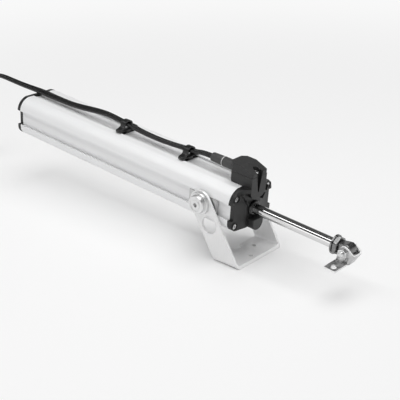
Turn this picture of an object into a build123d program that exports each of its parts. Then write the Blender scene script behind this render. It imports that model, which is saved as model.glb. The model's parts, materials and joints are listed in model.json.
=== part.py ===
"""Electric linear actuator: an aluminium profile with a moulded head, a push rod and a swivel bracket.

The origin is the middle of the bracket's foot, on the face that is screwed down. +Z is up, and +X is
the way the rod pushes. The actuator is drawn in its own planes, which start at the bracket's pivot
and lean with it. Places along it are counted from the pivot, and heights from the pivot line.
"""
from build123d import *
import os
from math import atan2, cos, pi, radians, sin, tan

os.makedirs("parts", exist_ok=True)

# Clearances
running = 0.05
sliding = 0.2
carrier_clearance = 0.5
turning_gap = 0.3
plate_gap = 0.5

# Swivel bracket of bent sheet
sheet = 3.0
foot_length = 35.0
ear_gap = 74.0
ear_radius = 15.0
bend_radius = 2.5
pivot_back = 39.0
pivot_height = 66.0
rest_tilt = 4.4
ear_hole_radius = 10.5
ear_hole_drop = 27.0
foot_hole_radius = 2.75
foot_holes_y = -5.5
foot_rear_hole_x = -4.4
foot_rear_hole_spacing = 44.0
foot_front_hole_x = 8.7
foot_notch_radius = 6.5

# Aluminium profile
profile_half_width = 35.0
profile_low = 24.0
profile_high = 26.0
profile_rear = -326.0
profile_front = 37.0
low_corner = 11.0
shoulder_z = 11.5
shoulder_y = 21.0
shoulder_rise = 3.1
slot_half = 9.6
slot_lip = 1.6
slot_depth = 4.2
slot_undercut = 2.2
top_slot_half = 12.0
top_slot_depth = 3.0
top_slot_lip = 1.4
top_slot_undercut = 1.6
wall = 2.2
cavity_corner = 18.0
port_radius = 1.6
upper_port_y = 27.5
upper_port_z = 16.2
lower_port_y = 27.8
lower_port_z = -18.0

# Gaskets and rear cap
gasket = 0.8
rear_cap_thickness = 4.5
cap_rim = 3.0
cap_rim_wall = 2.0

# Head: flange, web, column, rod bay and tongue
flange = 4.4
column_half = 13.0
column_reach = 12.2
web_edge_y = 30.0
web_mid_y = 20.0
web_mid_reach = 2.4
low_web_flat = 12.0
low_web_mid_y = 21.0
low_web_mid_reach = 1.0
column_edge = 1.5
rod_bay_high = 12.0
rod_bay_floor = 7.2
rod_bay_half = 19.0
column_toe = 9.0
tongue_half = 9.0
tongue_reach = 16.0
tongue_top = 12.5
tongue_tip = 8.5
tongue_edge = 0.8
tongue_low = 27.0
rib_top_y = 22.0
rib_top_z = 20.0
rib_foot_y = 12.5
rib_foot_z = 6.0
rib_thickness = 1.4
rib_reach = 10.0
pad_radius = 5.2
pad_height = 1.0
boss_radius = 13.0
boss_rear = 26.0
recess_half = 5.5
recess_top_z = 46.0
recess_tip_z = 20.0
recess_tip = 1.0
recess_depth = 3.5

# Hump on the head, its lid and what it covers
hump_overhang = 21.2
hump_corner = 5.0
hump_shell = 2.5
hump_room = 17.7
lid_base_z = 39.0
lid_top_z = 49.5
lid_front_z = 43.5
lid_flat = 17.8
lid_edge = 0.4
lid_screw_back = 6.0
lid_screw_sink = 3.7
lid_screw_floor_z = 40.6
wire_way_half = 4.0
wire_way_depth = 3.0
wire_way_low = 12.0
board_thickness = 1.6
board_gap = 1.5
board_rest = 2.0
board_rest_length = 6.0
terminal_length = 8.0
terminal_width = 14.0
terminal_height = 6.5

# Screws that run into the profile's ports
screw_head_radius = 3.1
screw_head_height = 2.2
screw_grip = 12.0
screw_hole_radius = 1.9
screw_sink_radius = 3.9
screw_sink_depth = 2.4
head_screw_sink_depth = 3.2
screw_socket_flats = 2.5
screw_socket_depth = 1.3

# Push rod, guide and wiper
rod_z = -2.0
rod_radius = 6.0
rod_bore_radius = 4.6
rod_front = 156.0
rod_insert = 15.0
rod_plug = 16.0
bush_radius = 8.6
bush_length = 14.0
wiper_radius = 9.2
wiper_reach = 3.4
wiper_edge = 2.0

# Spindle and nut
spindle_radius = 4.0
spindle_front = 15.0
spindle_collar_radius = 6.0
spindle_collar = 2.5
spindle_chamfer = 0.5
carrier_front = -75.0
carrier_length = 25.0
drive_nut_radius = 8.0
drive_nut_length = 9.5

# Motor, gearbox and bearing block
motor_radius = 17.5
motor_rear = -319.0
motor_length = 54.0
bell_length = 5.0
bell_boss_radius = 6.0
bell_boss = 2.0
gearbox_radius = 16.5
gearbox_length = 32.0
gearbox_groove = 0.8
plate_thickness = 4.0
plate_hole_radius = 6.0
output_shaft_radius = 3.0
coupling_radius = 8.0
coupling_length = 14.0
coupling_gap = 1.5
block_length = 14.0
block_hole_radius = 5.0
bearing_radius = 11.0
bearing_width = 7.0
cradle_back = 18.0
cradle_width = 8.0

# Rod end
washer_radius = 11.0
washer_thickness = 1.8
nut_flats = 19.0
nut_thickness = 5.4
eye_gap = 10.0
eye_radius = 7.5
eye_bar_half = 5.5
eye_edge = 0.8
eye_shank_radius = 4.0
eye_shank_length = 12.0
pin_radius = 3.0
pin_head_radius = 5.0
pin_head_height = 3.2
pin_nut_flats = 10.0
pin_nut_height = 5.0
pin_end = 3.0
pin_chamfer = 0.6

# End bracket of bent sheet, held by the pin
end_tilt = 28.0
end_sheet = 2.0
end_gap = 12.6
end_reach = 12.0
end_ear_radius = 6.5
end_top = 5.0
end_low = 14.0
end_bend = 2.0
end_foot_rear = -6.5
end_relief = 1.2
end_foot_reach = 30.0
end_foot_hole_radius = 3.0
end_foot_hole_y = 24.0
end_foot_corner = 3.0

# Bracket clamps, knobs and washers at the pivot
slider_length = 40.0
slider_boss_reach = 0.8
pivot_radius = 5.0
pivot_thread_radius = 4.0
pivot_thread = 3.5
knob_radius = 11.0
knob_base_radius = 13.2
knob_base = 3.2
knob_height = 8.0
knob_base_edge = 1.0
knob_edge = 1.8
knob_groove_inner = 6.0
knob_groove_outer = 7.6
knob_groove_depth = 0.5
knob_socket_flats = 5.0
knob_socket_depth = 4.0
pivot_washer_radius = 11.0

# Cable gland, clips, cables and their plugs
gland_radius = 5.9
gland_nut_length = 20.5
gland_sleeve_length = 14.0
gland_end_radius = 4.8
gland_ring_radius = 6.2
gland_ring_length = 1.0
gland_flange_radius = 7.2
gland_flange = 1.6
clip_front_x = -55.0
clip_rear_x = -160.0
clip_z = 35.2
clip_length = 6.0
clip_inner_length = 9.4
clip_inner_height = 5.0
clip_wall = 1.6
clip_stem = 7.0
clip_foot_thickness = 1.2
clip_tab = 2.4
cable_radius = 2.1
cable_y = 2.3
coil_turns = 4
coil_radius_a = 24.0
coil_radius_b = 28.4
coil_x = -508.0
coil_y = -30.0
tail_step = 30.0
bend_share = 0.45
plug_length = 18.0
plug_width = 8.0
plug_height = 7.0
plug_corner = 1.5
plug_nose = 5.0
plug_nose_inset = 1.0

# Working planes: section looks along the rod, side_view from the right side, plan_view from above
lean = radians(rest_tilt)
pivot = Vector(-pivot_back, 0, pivot_height)
along = Vector(cos(lean), 0, -sin(lean))
upward = Vector(sin(lean), 0, cos(lean))
section = Plane(origin=pivot, x_dir=(0, 1, 0), z_dir=along)
side_view = Plane(origin=pivot, x_dir=along, z_dir=(0, -1, 0))
plan_view = Plane(origin=pivot, x_dir=along, z_dir=upward)
along_axis = Axis(pivot, along)
rod_origin = pivot + upward * rod_z
rod_section = Plane(origin=rod_origin, x_dir=(0, 1, 0), z_dir=along)
rod_side = Plane(origin=rod_origin, x_dir=along, z_dir=(0, -1, 0))
rod_axis = Axis(rod_origin, along)

# Places that follow from the sizes
slot_floor = profile_half_width - slot_depth
cavity_half = slot_floor - wall
cavity_high = profile_high - top_slot_depth - wall
cavity_low = profile_low - wall
cavity_z = (cavity_high - cavity_low) / 2
ports = [
    (upper_port_y, upper_port_z),
    (-upper_port_y, upper_port_z),
    (lower_port_y, lower_port_z),
    (-lower_port_y, lower_port_z),
]
screw_radius = port_radius - running
cap_front = profile_rear - gasket
cap_rear = cap_front - rear_cap_thickness
flange_rear = profile_front + gasket
flange_front = flange_rear + flange
column_front = flange_rear + column_reach
bay_floor = flange_rear + rod_bay_floor
low_web_height = profile_low + rod_bay_high + column_toe
hump_rear = profile_front - hump_overhang
hump_room_rear = hump_rear + hump_shell
hump_room_half = column_half - hump_shell
hump_room_floor = profile_high + hump_shell
room_middle = hump_room_rear + hump_room / 2
lid_screw_x = column_front - lid_screw_back
bush_rear = bay_floor - bush_length
carrier_rear = carrier_front - carrier_length
rod_rear = carrier_front - rod_insert
gearbox_rear = motor_rear + motor_length
plate_rear = gearbox_rear + gearbox_length
plate_front = plate_rear + plate_thickness
coupling_rear = plate_front + plate_gap
coupling_front = coupling_rear + coupling_length
block_rear = coupling_front + coupling_gap
block_front = block_rear + block_length
washer_front = rod_front + washer_thickness
nut_front = washer_front + nut_thickness
eye_x = nut_front + eye_gap
ear_inner = ear_gap / 2
ear_outer = ear_inner + sheet
gland_ring_x = hump_rear - gland_nut_length
gland_end = gland_ring_x - gland_sleeve_length
coil_height = 2 * cable_radius * (coil_turns + 1)


def actuator_point(x, y, z):
    """Where a point lies that is given along, across and above the actuator's pivot line."""
    return pivot + along * x + Vector(0, y, 0) + upward * z


def profile_outline(undercut):
    """The profile's outer shape, with its slots undercut as in the tube or plain as in a cover."""
    edge = profile_half_width
    side_slot = [(edge, low_corner - profile_low), (edge, -slot_half)]
    top_slot = [(shoulder_y, profile_high), (top_slot_half, profile_high)]
    if undercut:
        lip = edge - slot_lip
        deep = slot_half + slot_undercut
        side_slot += [(lip, -slot_half), (lip, -deep), (slot_floor, -deep)]
        side_slot += [(slot_floor, deep), (lip, deep), (lip, slot_half)]
        top_lip = profile_high - top_slot_lip
        top_deep = top_slot_half + top_slot_undercut
        top_slot += [(top_slot_half, top_lip), (top_deep, top_lip)]
        top_slot += [(top_deep, profile_high - top_slot_depth)]
    else:
        side_slot += [(slot_floor, -slot_half), (slot_floor, slot_half)]
        top_slot += [(top_slot_half, profile_high - top_slot_depth)]
    side_slot += [(edge, slot_half), (edge, shoulder_z)]
    top_slot += [(0, profile_high - top_slot_depth)]
    with BuildSketch() as outline:
        with BuildLine():
            Line((0, -profile_low), (edge - low_corner, -profile_low))
            CenterArc((edge - low_corner, low_corner - profile_low), low_corner, -90, 90)
            Polyline(*side_slot)
            SagittaArc((edge, shoulder_z), (shoulder_y, profile_high), -shoulder_rise)
            Polyline(*top_slot)
            mirror(about=Plane.YZ)
        make_face()
    return outline.sketch


def cavity_outline(clearance):
    """The inside of the profile, smaller by the clearance all round."""
    with BuildSketch() as outline:
        with Locations((0, cavity_z)):
            RectangleRounded(
                2 * (cavity_half - clearance),
                cavity_high + cavity_low - 2 * clearance,
                cavity_corner - clearance,
            )
    return outline.sketch


def hump_outline():
    """The hump from above, with its front corners rounded and its rear corners cut off."""
    with BuildSketch() as outline:
        with Locations(((hump_rear + column_front) / 2, 0)):
            Rectangle(column_front - hump_rear, 2 * column_half)
        fillet(outline.vertices().group_by(Axis.X)[-1], column_edge)
        chamfer(outline.vertices().group_by(Axis.X)[0], hump_corner)
    return outline.sketch


def room_outline(clearance):
    """The hollow of the hump from above, smaller by the clearance all round."""
    with BuildSketch() as outline:
        with Locations((room_middle, 0)):
            Rectangle(hump_room - 2 * clearance, 2 * (hump_room_half - clearance))
        chamfer(outline.vertices().group_by(Axis.X)[0], hump_corner - hump_shell)
    return outline.sketch


def recess_outline():
    """The tapered recess down the front of the column, in the section plane."""
    with BuildSketch() as outline:
        with BuildLine():
            Line((-recess_half, recess_top_z), (recess_half, recess_top_z))
        with Locations((0, recess_tip_z)):
            Circle(recess_tip)
        make_hull()
    return outline.sketch


# Swivel bracket
with BuildPart() as swivel_bracket:
    with BuildSketch(Plane.XZ):
        with BuildLine():
            Line((-foot_length / 2, 0), (foot_length / 2, 0))
        with Locations((-pivot_back, pivot_height)):
            Circle(ear_radius)
        make_hull()
    extrude(amount=ear_outer, both=True)
    fillet(swivel_bracket.edges().filter_by(Axis.X).group_by(Axis.Z)[0], bend_radius + sheet)
    inner_height = pivot_height + 2 * ear_radius
    with BuildSketch(Plane.YZ) as inner_space:
        with Locations((0, sheet + inner_height / 2)):
            Rectangle(ear_gap, inner_height)
        fillet(inner_space.vertices().group_by(Axis.Y)[0], bend_radius)
    extrude(amount=pivot_back + foot_length + ear_radius, both=True, mode=Mode.SUBTRACT)
    ear_lean = atan2(pivot_height, pivot_back)
    ear_hole_x = -pivot_back + ear_hole_drop * cos(ear_lean)
    ear_hole_z = pivot_height - ear_hole_drop * sin(ear_lean)
    with BuildSketch(Plane.XZ):
        with Locations((-pivot_back, pivot_height)):
            Circle(pivot_radius + running)
        with Locations((ear_hole_x, ear_hole_z)):
            Circle(ear_hole_radius)
    extrude(amount=ear_outer, both=True, mode=Mode.SUBTRACT)
    with BuildSketch(Plane.XY):
        with Locations((foot_rear_hole_x, foot_holes_y)):
            with GridLocations(0, foot_rear_hole_spacing, 1, 2):
                Circle(foot_hole_radius)
        with Locations((foot_front_hole_x, foot_holes_y)):
            Circle(foot_hole_radius)
        with Locations((-foot_length / 2 - sheet / tan(ear_lean), 0)):
            Circle(foot_notch_radius)
    extrude(amount=sheet, mode=Mode.SUBTRACT)
swivel_bracket.part.label = "swivel_bracket"
export_step(swivel_bracket.part, "parts/swivel_bracket.step")

# Clamp sliders in the side slots, and the friction washers and knobs on them
slider_inner = slot_floor + sliding
slider_lip = profile_half_width - slot_lip - sliding
slider_outer = profile_half_width + slider_boss_reach
for name, side in (("left", 1), ("right", -1)):
    with BuildPart() as clamp_slider:
        with BuildSketch(section.offset(-slider_length / 2)):
            with Locations((side * (slider_inner + slider_lip) / 2, 0)):
                Rectangle(slider_lip - slider_inner, 2 * (slot_half + slot_undercut - sliding))
            with Locations((side * (slider_inner + slider_outer) / 2, 0)):
                Rectangle(slider_outer - slider_inner, 2 * (slot_half - sliding))
        extrude(amount=slider_length)
        with BuildSketch(side_view.offset(-side * slider_inner)):
            Circle(pivot_thread_radius)
        extrude(amount=-side * slot_depth * 2, mode=Mode.SUBTRACT)
    clamp_slider.part.label = "clamp_slider_" + name
    export_step(clamp_slider.part, "parts/clamp_slider_" + name + ".step")

    knob_section = Plane(origin=pivot, x_dir=along, z_dir=upward * side)
    knob_seat = ear_outer + sliding
    knob_step = knob_seat + knob_base
    knob_face = knob_seat + knob_height
    with BuildPart() as pivot_knob:
        with BuildSketch(knob_section) as knob_half:
            with BuildLine():
                Polyline(
                    (0, slider_outer - pivot_thread),
                    (pivot_thread_radius, slider_outer - pivot_thread),
                    (pivot_thread_radius, slider_outer),
                    (pivot_radius, slider_outer),
                    (pivot_radius, knob_seat),
                    (knob_base_radius, knob_seat),
                    (knob_base_radius, knob_step),
                    (knob_radius, knob_step),
                    (knob_radius, knob_face),
                    (knob_groove_outer, knob_face),
                    (knob_groove_outer, knob_face - knob_groove_depth),
                    (knob_groove_inner, knob_face - knob_groove_depth),
                    (knob_groove_inner, knob_face),
                    (0, knob_face),
                    close=True,
                )
            make_face()
            fillet(knob_half.vertices().group_by(Axis.X)[-2].sort_by(Axis.Y)[-1], knob_edge)
            fillet(knob_half.vertices().group_by(Axis.X)[-1].sort_by(Axis.Y)[-1], knob_base_edge)
        revolve(axis=Axis(pivot, (0, 1, 0)))
        with BuildSketch(side_view.offset(-side * knob_face)):
            RegularPolygon(knob_socket_flats / 2, 6, major_radius=False)
        extrude(amount=side * knob_socket_depth, mode=Mode.SUBTRACT)
    pivot_knob.part.label = "pivot_knob_" + name
    export_step(pivot_knob.part, "parts/pivot_knob_" + name + ".step")

with BuildPart() as pivot_washers:
    for side in (1, -1):
        with BuildSketch(side_view.offset(-side * slider_outer)):
            Circle(pivot_washer_radius)
            Circle(pivot_radius, mode=Mode.SUBTRACT)
        extrude(amount=-side * (ear_inner - sliding - slider_outer))
pivot_washers.part.label = "pivot_washers"
export_step(pivot_washers.part, "parts/pivot_washers.step")

# Profile tube
with BuildPart() as profile_tube:
    with BuildSketch(section.offset(profile_rear)):
        add(profile_outline(undercut=True))
        add(cavity_outline(0), mode=Mode.SUBTRACT)
        with Locations(*ports):
            Circle(port_radius, mode=Mode.SUBTRACT)
    extrude(amount=profile_front - profile_rear)
profile_tube.part.label = "profile_tube"
export_step(profile_tube.part, "parts/profile_tube.step")

# Gaskets between the profile and its two ends
for name, station in (("rear_gasket", cap_front), ("front_gasket", profile_front)):
    with BuildPart() as end_gasket:
        with BuildSketch(section.offset(station)):
            add(profile_outline(undercut=False))
            add(cavity_outline(0), mode=Mode.SUBTRACT)
            with Locations(*ports):
                Circle(screw_hole_radius, mode=Mode.SUBTRACT)
        extrude(amount=gasket)
    end_gasket.part.label = name
    export_step(end_gasket.part, "parts/" + name + ".step")

# Rear cap: a plate with a rim that enters the profile, and a block that closes the top slot
with BuildPart() as rear_end_cap:
    with BuildSketch(section.offset(cap_rear)):
        add(profile_outline(undercut=False))
        with Locations((0, profile_high - top_slot_depth / 2)):
            Rectangle(2 * top_slot_half, top_slot_depth)
    extrude(amount=rear_cap_thickness)
    with BuildSketch(section.offset(cap_front)):
        add(cavity_outline(sliding))
        add(cavity_outline(sliding + cap_rim_wall), mode=Mode.SUBTRACT)
    extrude(amount=cap_rim)
    with BuildSketch(section.offset(cap_rear)):
        with Locations(*ports):
            Circle(screw_hole_radius)
    extrude(amount=rear_cap_thickness, mode=Mode.SUBTRACT)
    with BuildSketch(section.offset(cap_rear)):
        with Locations(*ports):
            Circle(screw_sink_radius)
    extrude(amount=screw_sink_depth, mode=Mode.SUBTRACT)
rear_end_cap.part.label = "rear_end_cap"
export_step(rear_end_cap.part, "parts/rear_end_cap.step")

# Screws at both ends, four each: the heads stand in the counterbores
head_seat = flange_front + pad_height - head_screw_sink_depth
for name, seat, inward in (
    ("rear_cap_screws", cap_rear + screw_sink_depth, 1),
    ("head_screws", head_seat, -1),
):
    with BuildPart() as end_screws:
        with BuildSketch(section.offset(seat)):
            with Locations(*ports):
                Circle(screw_head_radius)
        extrude(amount=-inward * screw_head_height)
        with BuildSketch(section.offset(seat - inward * screw_head_height)):
            with Locations(*ports):
                RegularPolygon(screw_socket_flats / 2, 6, major_radius=False)
        extrude(amount=inward * screw_socket_depth, mode=Mode.SUBTRACT)
        with BuildSketch(section.offset(seat)):
            with Locations(*ports):
                Circle(screw_radius)
        extrude(amount=inward * screw_grip)
    end_screws.part.label = name
    export_step(end_screws.part, "parts/" + name + ".step")

# Front head
with BuildPart() as front_head:
    for base, height, mid_y, mid_reach, front, flat in (
        (-profile_low, low_web_height, low_web_mid_y, low_web_mid_reach, bay_floor, low_web_flat),
        (rod_bay_high, lid_base_z - rod_bay_high, web_mid_y, web_mid_reach, column_front, column_half),
    ):
        with BuildSketch(plan_view.offset(base)) as web:
            with BuildLine():
                web_start = (flange_front, web_edge_y)
                ThreePointArc(web_start, (flange_front + mid_reach, mid_y), (front, flat))
                Line((front, flat), (front, 0))
                Polyline(web_start, (flange_rear, web_edge_y), (flange_rear, 0))
                mirror(about=Plane.XZ)
            make_face()
        extrude(amount=height)
    with BuildSketch(section.offset(flange_rear)):
        with Locations(*ports):
            Circle(pad_radius)
    extrude(amount=flange + pad_height)
    with BuildSketch(section.offset(flange_rear)):
        for side in (1, -1):
            rib_top = (side * rib_top_y, rib_top_z)
            rib_foot = (side * rib_foot_y, rib_foot_z)
            with BuildLine():
                Line(rib_top, rib_foot)
            trace(line_width=rib_thickness)
    extrude(amount=rib_reach)
    with BuildSketch(section.offset(flange_rear)):
        add(profile_outline(undercut=False))
        with Locations((0, lid_base_z / 2)):
            Rectangle(2 * column_half, lid_base_z)
    extrude(amount=column_reach, mode=Mode.INTERSECT)
    with BuildSketch(section.offset(flange_rear)):
        add(profile_outline(undercut=False))
    extrude(amount=flange)
    with BuildSketch(section.offset(bay_floor)):
        with Locations((0, rod_bay_high + column_toe / 2)):
            Rectangle(2 * rod_bay_half, column_toe)
        with BuildSketch(mode=Mode.SUBTRACT) as toe:
            with Locations((0, rod_bay_high + column_toe)):
                Rectangle(2 * column_half, 2 * column_toe)
            fillet(toe.vertices().group_by(Axis.Y)[0], column_toe)
    extrude(amount=tongue_reach, mode=Mode.SUBTRACT)
    with BuildSketch(section.offset(flange_front)) as tongue:
        with Locations((0, -(tongue_top + tongue_low) / 2)):
            Rectangle(2 * tongue_half, tongue_low - tongue_top)
        fillet(tongue.vertices().group_by(Axis.Y)[0], tongue_tip)
    extrude(amount=tongue_reach - flange)
    fillet(front_head.faces().sort_by(along_axis)[-1].edges(), tongue_edge)
    with BuildSketch(rod_section.offset(bay_floor)):
        Circle(wiper_radius + sliding)
    extrude(amount=tongue_reach, mode=Mode.SUBTRACT)
    with BuildSketch(plan_view.offset(profile_high)):
        add(hump_outline())
    extrude(amount=lid_base_z - profile_high)
    with BuildSketch(plan_view.offset(lid_base_z)):
        add(room_outline(0))
    extrude(amount=hump_room_floor - lid_base_z, mode=Mode.SUBTRACT)
    with BuildSketch(plan_view.offset(hump_room_floor)):
        for side in (1, -1):
            with Locations((room_middle, side * (hump_room_half - board_rest / 2))):
                Rectangle(board_rest_length, board_rest)
    extrude(amount=board_gap)
    with BuildSketch(plan_view.offset(hump_room_floor + board_gap)):
        way_end = flange_rear + wire_way_depth
        with Locations(((room_middle + way_end) / 2, 0)):
            Rectangle(way_end - room_middle, 2 * wire_way_half)
    extrude(amount=wire_way_depth, mode=Mode.SUBTRACT)
    with BuildSketch(section.offset(flange_rear)):
        way_top = hump_room_floor + board_gap + wire_way_depth
        with Locations((0, (way_top + wire_way_low) / 2)):
            Rectangle(2 * wire_way_half, way_top - wire_way_low)
    extrude(amount=wire_way_depth, mode=Mode.SUBTRACT)
    with BuildSketch(rod_section.offset(boss_rear)):
        Circle(boss_radius)
    extrude(amount=flange_rear - boss_rear)
    with BuildSketch(rod_section.offset(boss_rear)):
        Circle(bush_radius)
    extrude(amount=tongue_reach + flange_rear - boss_rear, mode=Mode.SUBTRACT)
    with BuildSketch(section.offset(flange_rear)):
        with Locations(*ports):
            Circle(screw_hole_radius)
    extrude(amount=flange + pad_height, mode=Mode.SUBTRACT)
    with BuildSketch(section.offset(head_seat)):
        with Locations(*ports):
            Circle(screw_sink_radius)
    extrude(amount=column_reach, mode=Mode.SUBTRACT)
    with BuildSketch(section.offset(column_front - recess_depth)):
        add(recess_outline())
    extrude(amount=recess_depth, mode=Mode.SUBTRACT)
    with BuildSketch(section.offset(hump_rear)):
        with Locations((0, lid_base_z)):
            Circle(gland_radius)
    extrude(amount=hump_shell, mode=Mode.SUBTRACT)
    with BuildSketch(plan_view.offset(lid_base_z)):
        with Locations((lid_screw_x, 0)):
            Circle(screw_radius)
    extrude(amount=-screw_grip, mode=Mode.SUBTRACT)
front_head.part.label = "front_head"
export_step(front_head.part, "parts/front_head.step")

# Lid of the hump
with BuildPart() as hump_lid:
    with BuildSketch(plan_view.offset(lid_base_z)):
        add(hump_outline())
    extrude(amount=lid_top_z - lid_base_z)
    with BuildSketch(side_view):
        with BuildLine():
            Polyline(
                (hump_rear, lid_base_z),
                (column_front, lid_base_z),
                (column_front, lid_front_z),
                (hump_rear + lid_flat, lid_top_z),
                (hump_rear, lid_top_z),
                close=True,
            )
        make_face()
    extrude(amount=column_half, both=True, mode=Mode.INTERSECT)
    chamfer(hump_lid.faces().sort_by(Axis(pivot, upward))[0].edges(), lid_edge)
    with BuildSketch(plan_view.offset(lid_base_z)):
        add(room_outline(0))
    extrude(amount=lid_top_z - hump_shell - lid_base_z, mode=Mode.SUBTRACT)
    with BuildSketch(section.offset(column_front - recess_depth)):
        add(recess_outline())
    extrude(amount=recess_depth, mode=Mode.SUBTRACT)
    with BuildSketch(section.offset(hump_rear)):
        with Locations((0, lid_base_z)):
            Circle(gland_radius)
    extrude(amount=hump_shell, mode=Mode.SUBTRACT)
    with BuildSketch(plan_view.offset(lid_base_z)):
        with Locations((lid_screw_x, 0)):
            Circle(screw_hole_radius)
    extrude(amount=lid_top_z - lid_base_z, mode=Mode.SUBTRACT)
    with BuildSketch(plan_view.offset(lid_screw_floor_z)):
        with Locations((lid_screw_x, 0)):
            Circle(lid_screw_sink)
    extrude(amount=lid_top_z - lid_screw_floor_z, mode=Mode.SUBTRACT)
hump_lid.part.label = "hump_lid"
export_step(hump_lid.part, "parts/hump_lid.step")

with BuildPart() as lid_screw:
    with BuildSketch(plan_view.offset(lid_screw_floor_z)):
        with Locations((lid_screw_x, 0)):
            Circle(screw_head_radius)
    extrude(amount=screw_head_height)
    with BuildSketch(plan_view.offset(lid_screw_floor_z + screw_head_height)):
        with Locations((lid_screw_x, 0)):
            RegularPolygon(screw_socket_flats / 2, 6, major_radius=False)
    extrude(amount=-screw_socket_depth, mode=Mode.SUBTRACT)
    with BuildSketch(plan_view.offset(lid_screw_floor_z)):
        with Locations((lid_screw_x, 0)):
            Circle(screw_radius)
    extrude(amount=-screw_grip)
lid_screw.part.label = "lid_screw"
export_step(lid_screw.part, "parts/lid_screw.step")

# Control board on its two rests, and the terminal block on it
board_base = hump_room_floor + board_gap
with BuildPart() as control_board:
    with BuildSketch(plan_view.offset(board_base)):
        add(room_outline(sliding))
    extrude(amount=board_thickness)
control_board.part.label = "control_board"
export_step(control_board.part, "parts/control_board.step")

with BuildPart() as terminal_block:
    with BuildSketch(plan_view.offset(board_base + board_thickness)):
        with Locations((room_middle, 0)):
            Rectangle(terminal_length, terminal_width)
    extrude(amount=terminal_height)
    with BuildSketch(plan_view.offset(board_base + board_thickness + terminal_height)):
        with Locations((room_middle, 0)):
            with GridLocations(0, terminal_width / 4, 1, 4):
                Circle(screw_hole_radius / 2)
    extrude(amount=-terminal_height / 2, mode=Mode.SUBTRACT)
terminal_block.part.label = "terminal_block"
export_step(terminal_block.part, "parts/terminal_block.step")

# Guide bush and wiper round the rod
with BuildPart() as rod_guide_bush:
    with BuildSketch(rod_section.offset(bush_rear)):
        Circle(bush_radius)
        Circle(rod_radius + running, mode=Mode.SUBTRACT)
    extrude(amount=bush_length)
rod_guide_bush.part.label = "rod_guide_bush"
export_step(rod_guide_bush.part, "parts/rod_guide_bush.step")

with BuildPart() as rod_wiper:
    with BuildSketch(rod_section.offset(bay_floor)):
        Circle(wiper_radius)
    extrude(amount=wiper_reach)
    fillet(rod_wiper.edges().sort_by(along_axis)[-1], wiper_edge)
    with BuildSketch(rod_section.offset(bay_floor)):
        Circle(rod_radius + running)
    extrude(amount=wiper_reach, mode=Mode.SUBTRACT)
rod_wiper.part.label = "rod_wiper"
export_step(rod_wiper.part, "parts/rod_wiper.step")

# Motor, its rear bell and its cradle
with BuildPart() as motor_body:
    with BuildSketch(rod_section.offset(motor_rear + bell_length)):
        Circle(motor_radius)
    extrude(amount=motor_length - bell_length)
motor_body.part.label = "motor_body"
export_step(motor_body.part, "parts/motor_body.step")

with BuildPart() as motor_end_bell:
    with BuildSketch(rod_section.offset(motor_rear + bell_boss)):
        Circle(motor_radius - gearbox_groove)
    extrude(amount=bell_length - bell_boss)
    with BuildSketch(rod_section.offset(motor_rear)):
        Circle(bell_boss_radius)
    extrude(amount=bell_boss)
motor_end_bell.part.label = "motor_end_bell"
export_step(motor_end_bell.part, "parts/motor_end_bell.step")

with BuildPart() as motor_cradle:
    with BuildSketch(section.offset(motor_rear + cradle_back)):
        add(cavity_outline(0))
        with Locations((0, rod_z)):
            Circle(motor_radius, mode=Mode.SUBTRACT)
    extrude(amount=cradle_width)
motor_cradle.part.label = "motor_cradle"
export_step(motor_cradle.part, "parts/motor_cradle.step")

# Gearbox, screwed to a plate of the cavity's shape
with BuildPart() as gearbox:
    with BuildSketch(rod_side):
        groove_x = gearbox_rear + gearbox_length / 2
        with BuildLine():
            Polyline(
                (gearbox_rear, 0),
                (gearbox_rear, gearbox_radius),
                (groove_x - gearbox_groove, gearbox_radius),
                (groove_x, gearbox_radius - gearbox_groove),
                (groove_x + gearbox_groove, gearbox_radius),
                (plate_rear, gearbox_radius),
                (plate_rear, 0),
                close=True,
            )
        make_face()
    revolve(axis=rod_axis)
    with BuildSketch(rod_section.offset(plate_rear)):
        Circle(output_shaft_radius + running)
    extrude(amount=-gearbox_length / 2, mode=Mode.SUBTRACT)
gearbox.part.label = "gearbox"
export_step(gearbox.part, "parts/gearbox.step")

with BuildPart() as gearbox_plate:
    with BuildSketch(section.offset(plate_rear)):
        add(cavity_outline(running))
        with Locations((0, rod_z)):
            Circle(plate_hole_radius, mode=Mode.SUBTRACT)
    extrude(amount=plate_thickness)
gearbox_plate.part.label = "gearbox_plate"
export_step(gearbox_plate.part, "parts/gearbox_plate.step")

# Output shaft, coupling and spindle turn together
with BuildPart() as output_shaft:
    with BuildSketch(rod_section.offset(plate_rear - gearbox_length / 2 + turning_gap)):
        Circle(output_shaft_radius)
    extrude(amount=coupling_rear + coupling_length / 2 - plate_rear + gearbox_length / 2 - turning_gap)
output_shaft.part.label = "output_shaft"
export_step(output_shaft.part, "parts/output_shaft.step")

with BuildPart() as shaft_coupling:
    with BuildSketch(rod_section.offset(coupling_rear)):
        Circle(coupling_radius)
    extrude(amount=coupling_length)
    with BuildSketch(rod_section.offset(coupling_rear)):
        Circle(output_shaft_radius)
    extrude(amount=coupling_length / 2, mode=Mode.SUBTRACT)
    with BuildSketch(rod_section.offset(coupling_front)):
        Circle(spindle_radius)
    extrude(amount=-coupling_length / 2, mode=Mode.SUBTRACT)
shaft_coupling.part.label = "shaft_coupling"
export_step(shaft_coupling.part, "parts/shaft_coupling.step")

with BuildPart() as spindle:
    with BuildSketch(rod_section.offset(coupling_front - coupling_length / 2)):
        Circle(spindle_radius)
    extrude(amount=spindle_front - coupling_front + coupling_length / 2)
    with BuildSketch(rod_section.offset(block_front + turning_gap)):
        Circle(spindle_collar_radius)
    extrude(amount=spindle_collar)
    chamfer(spindle.edges().sort_by(along_axis)[-1], spindle_chamfer)
spindle.part.label = "spindle"
export_step(spindle.part, "parts/spindle.step")

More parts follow.
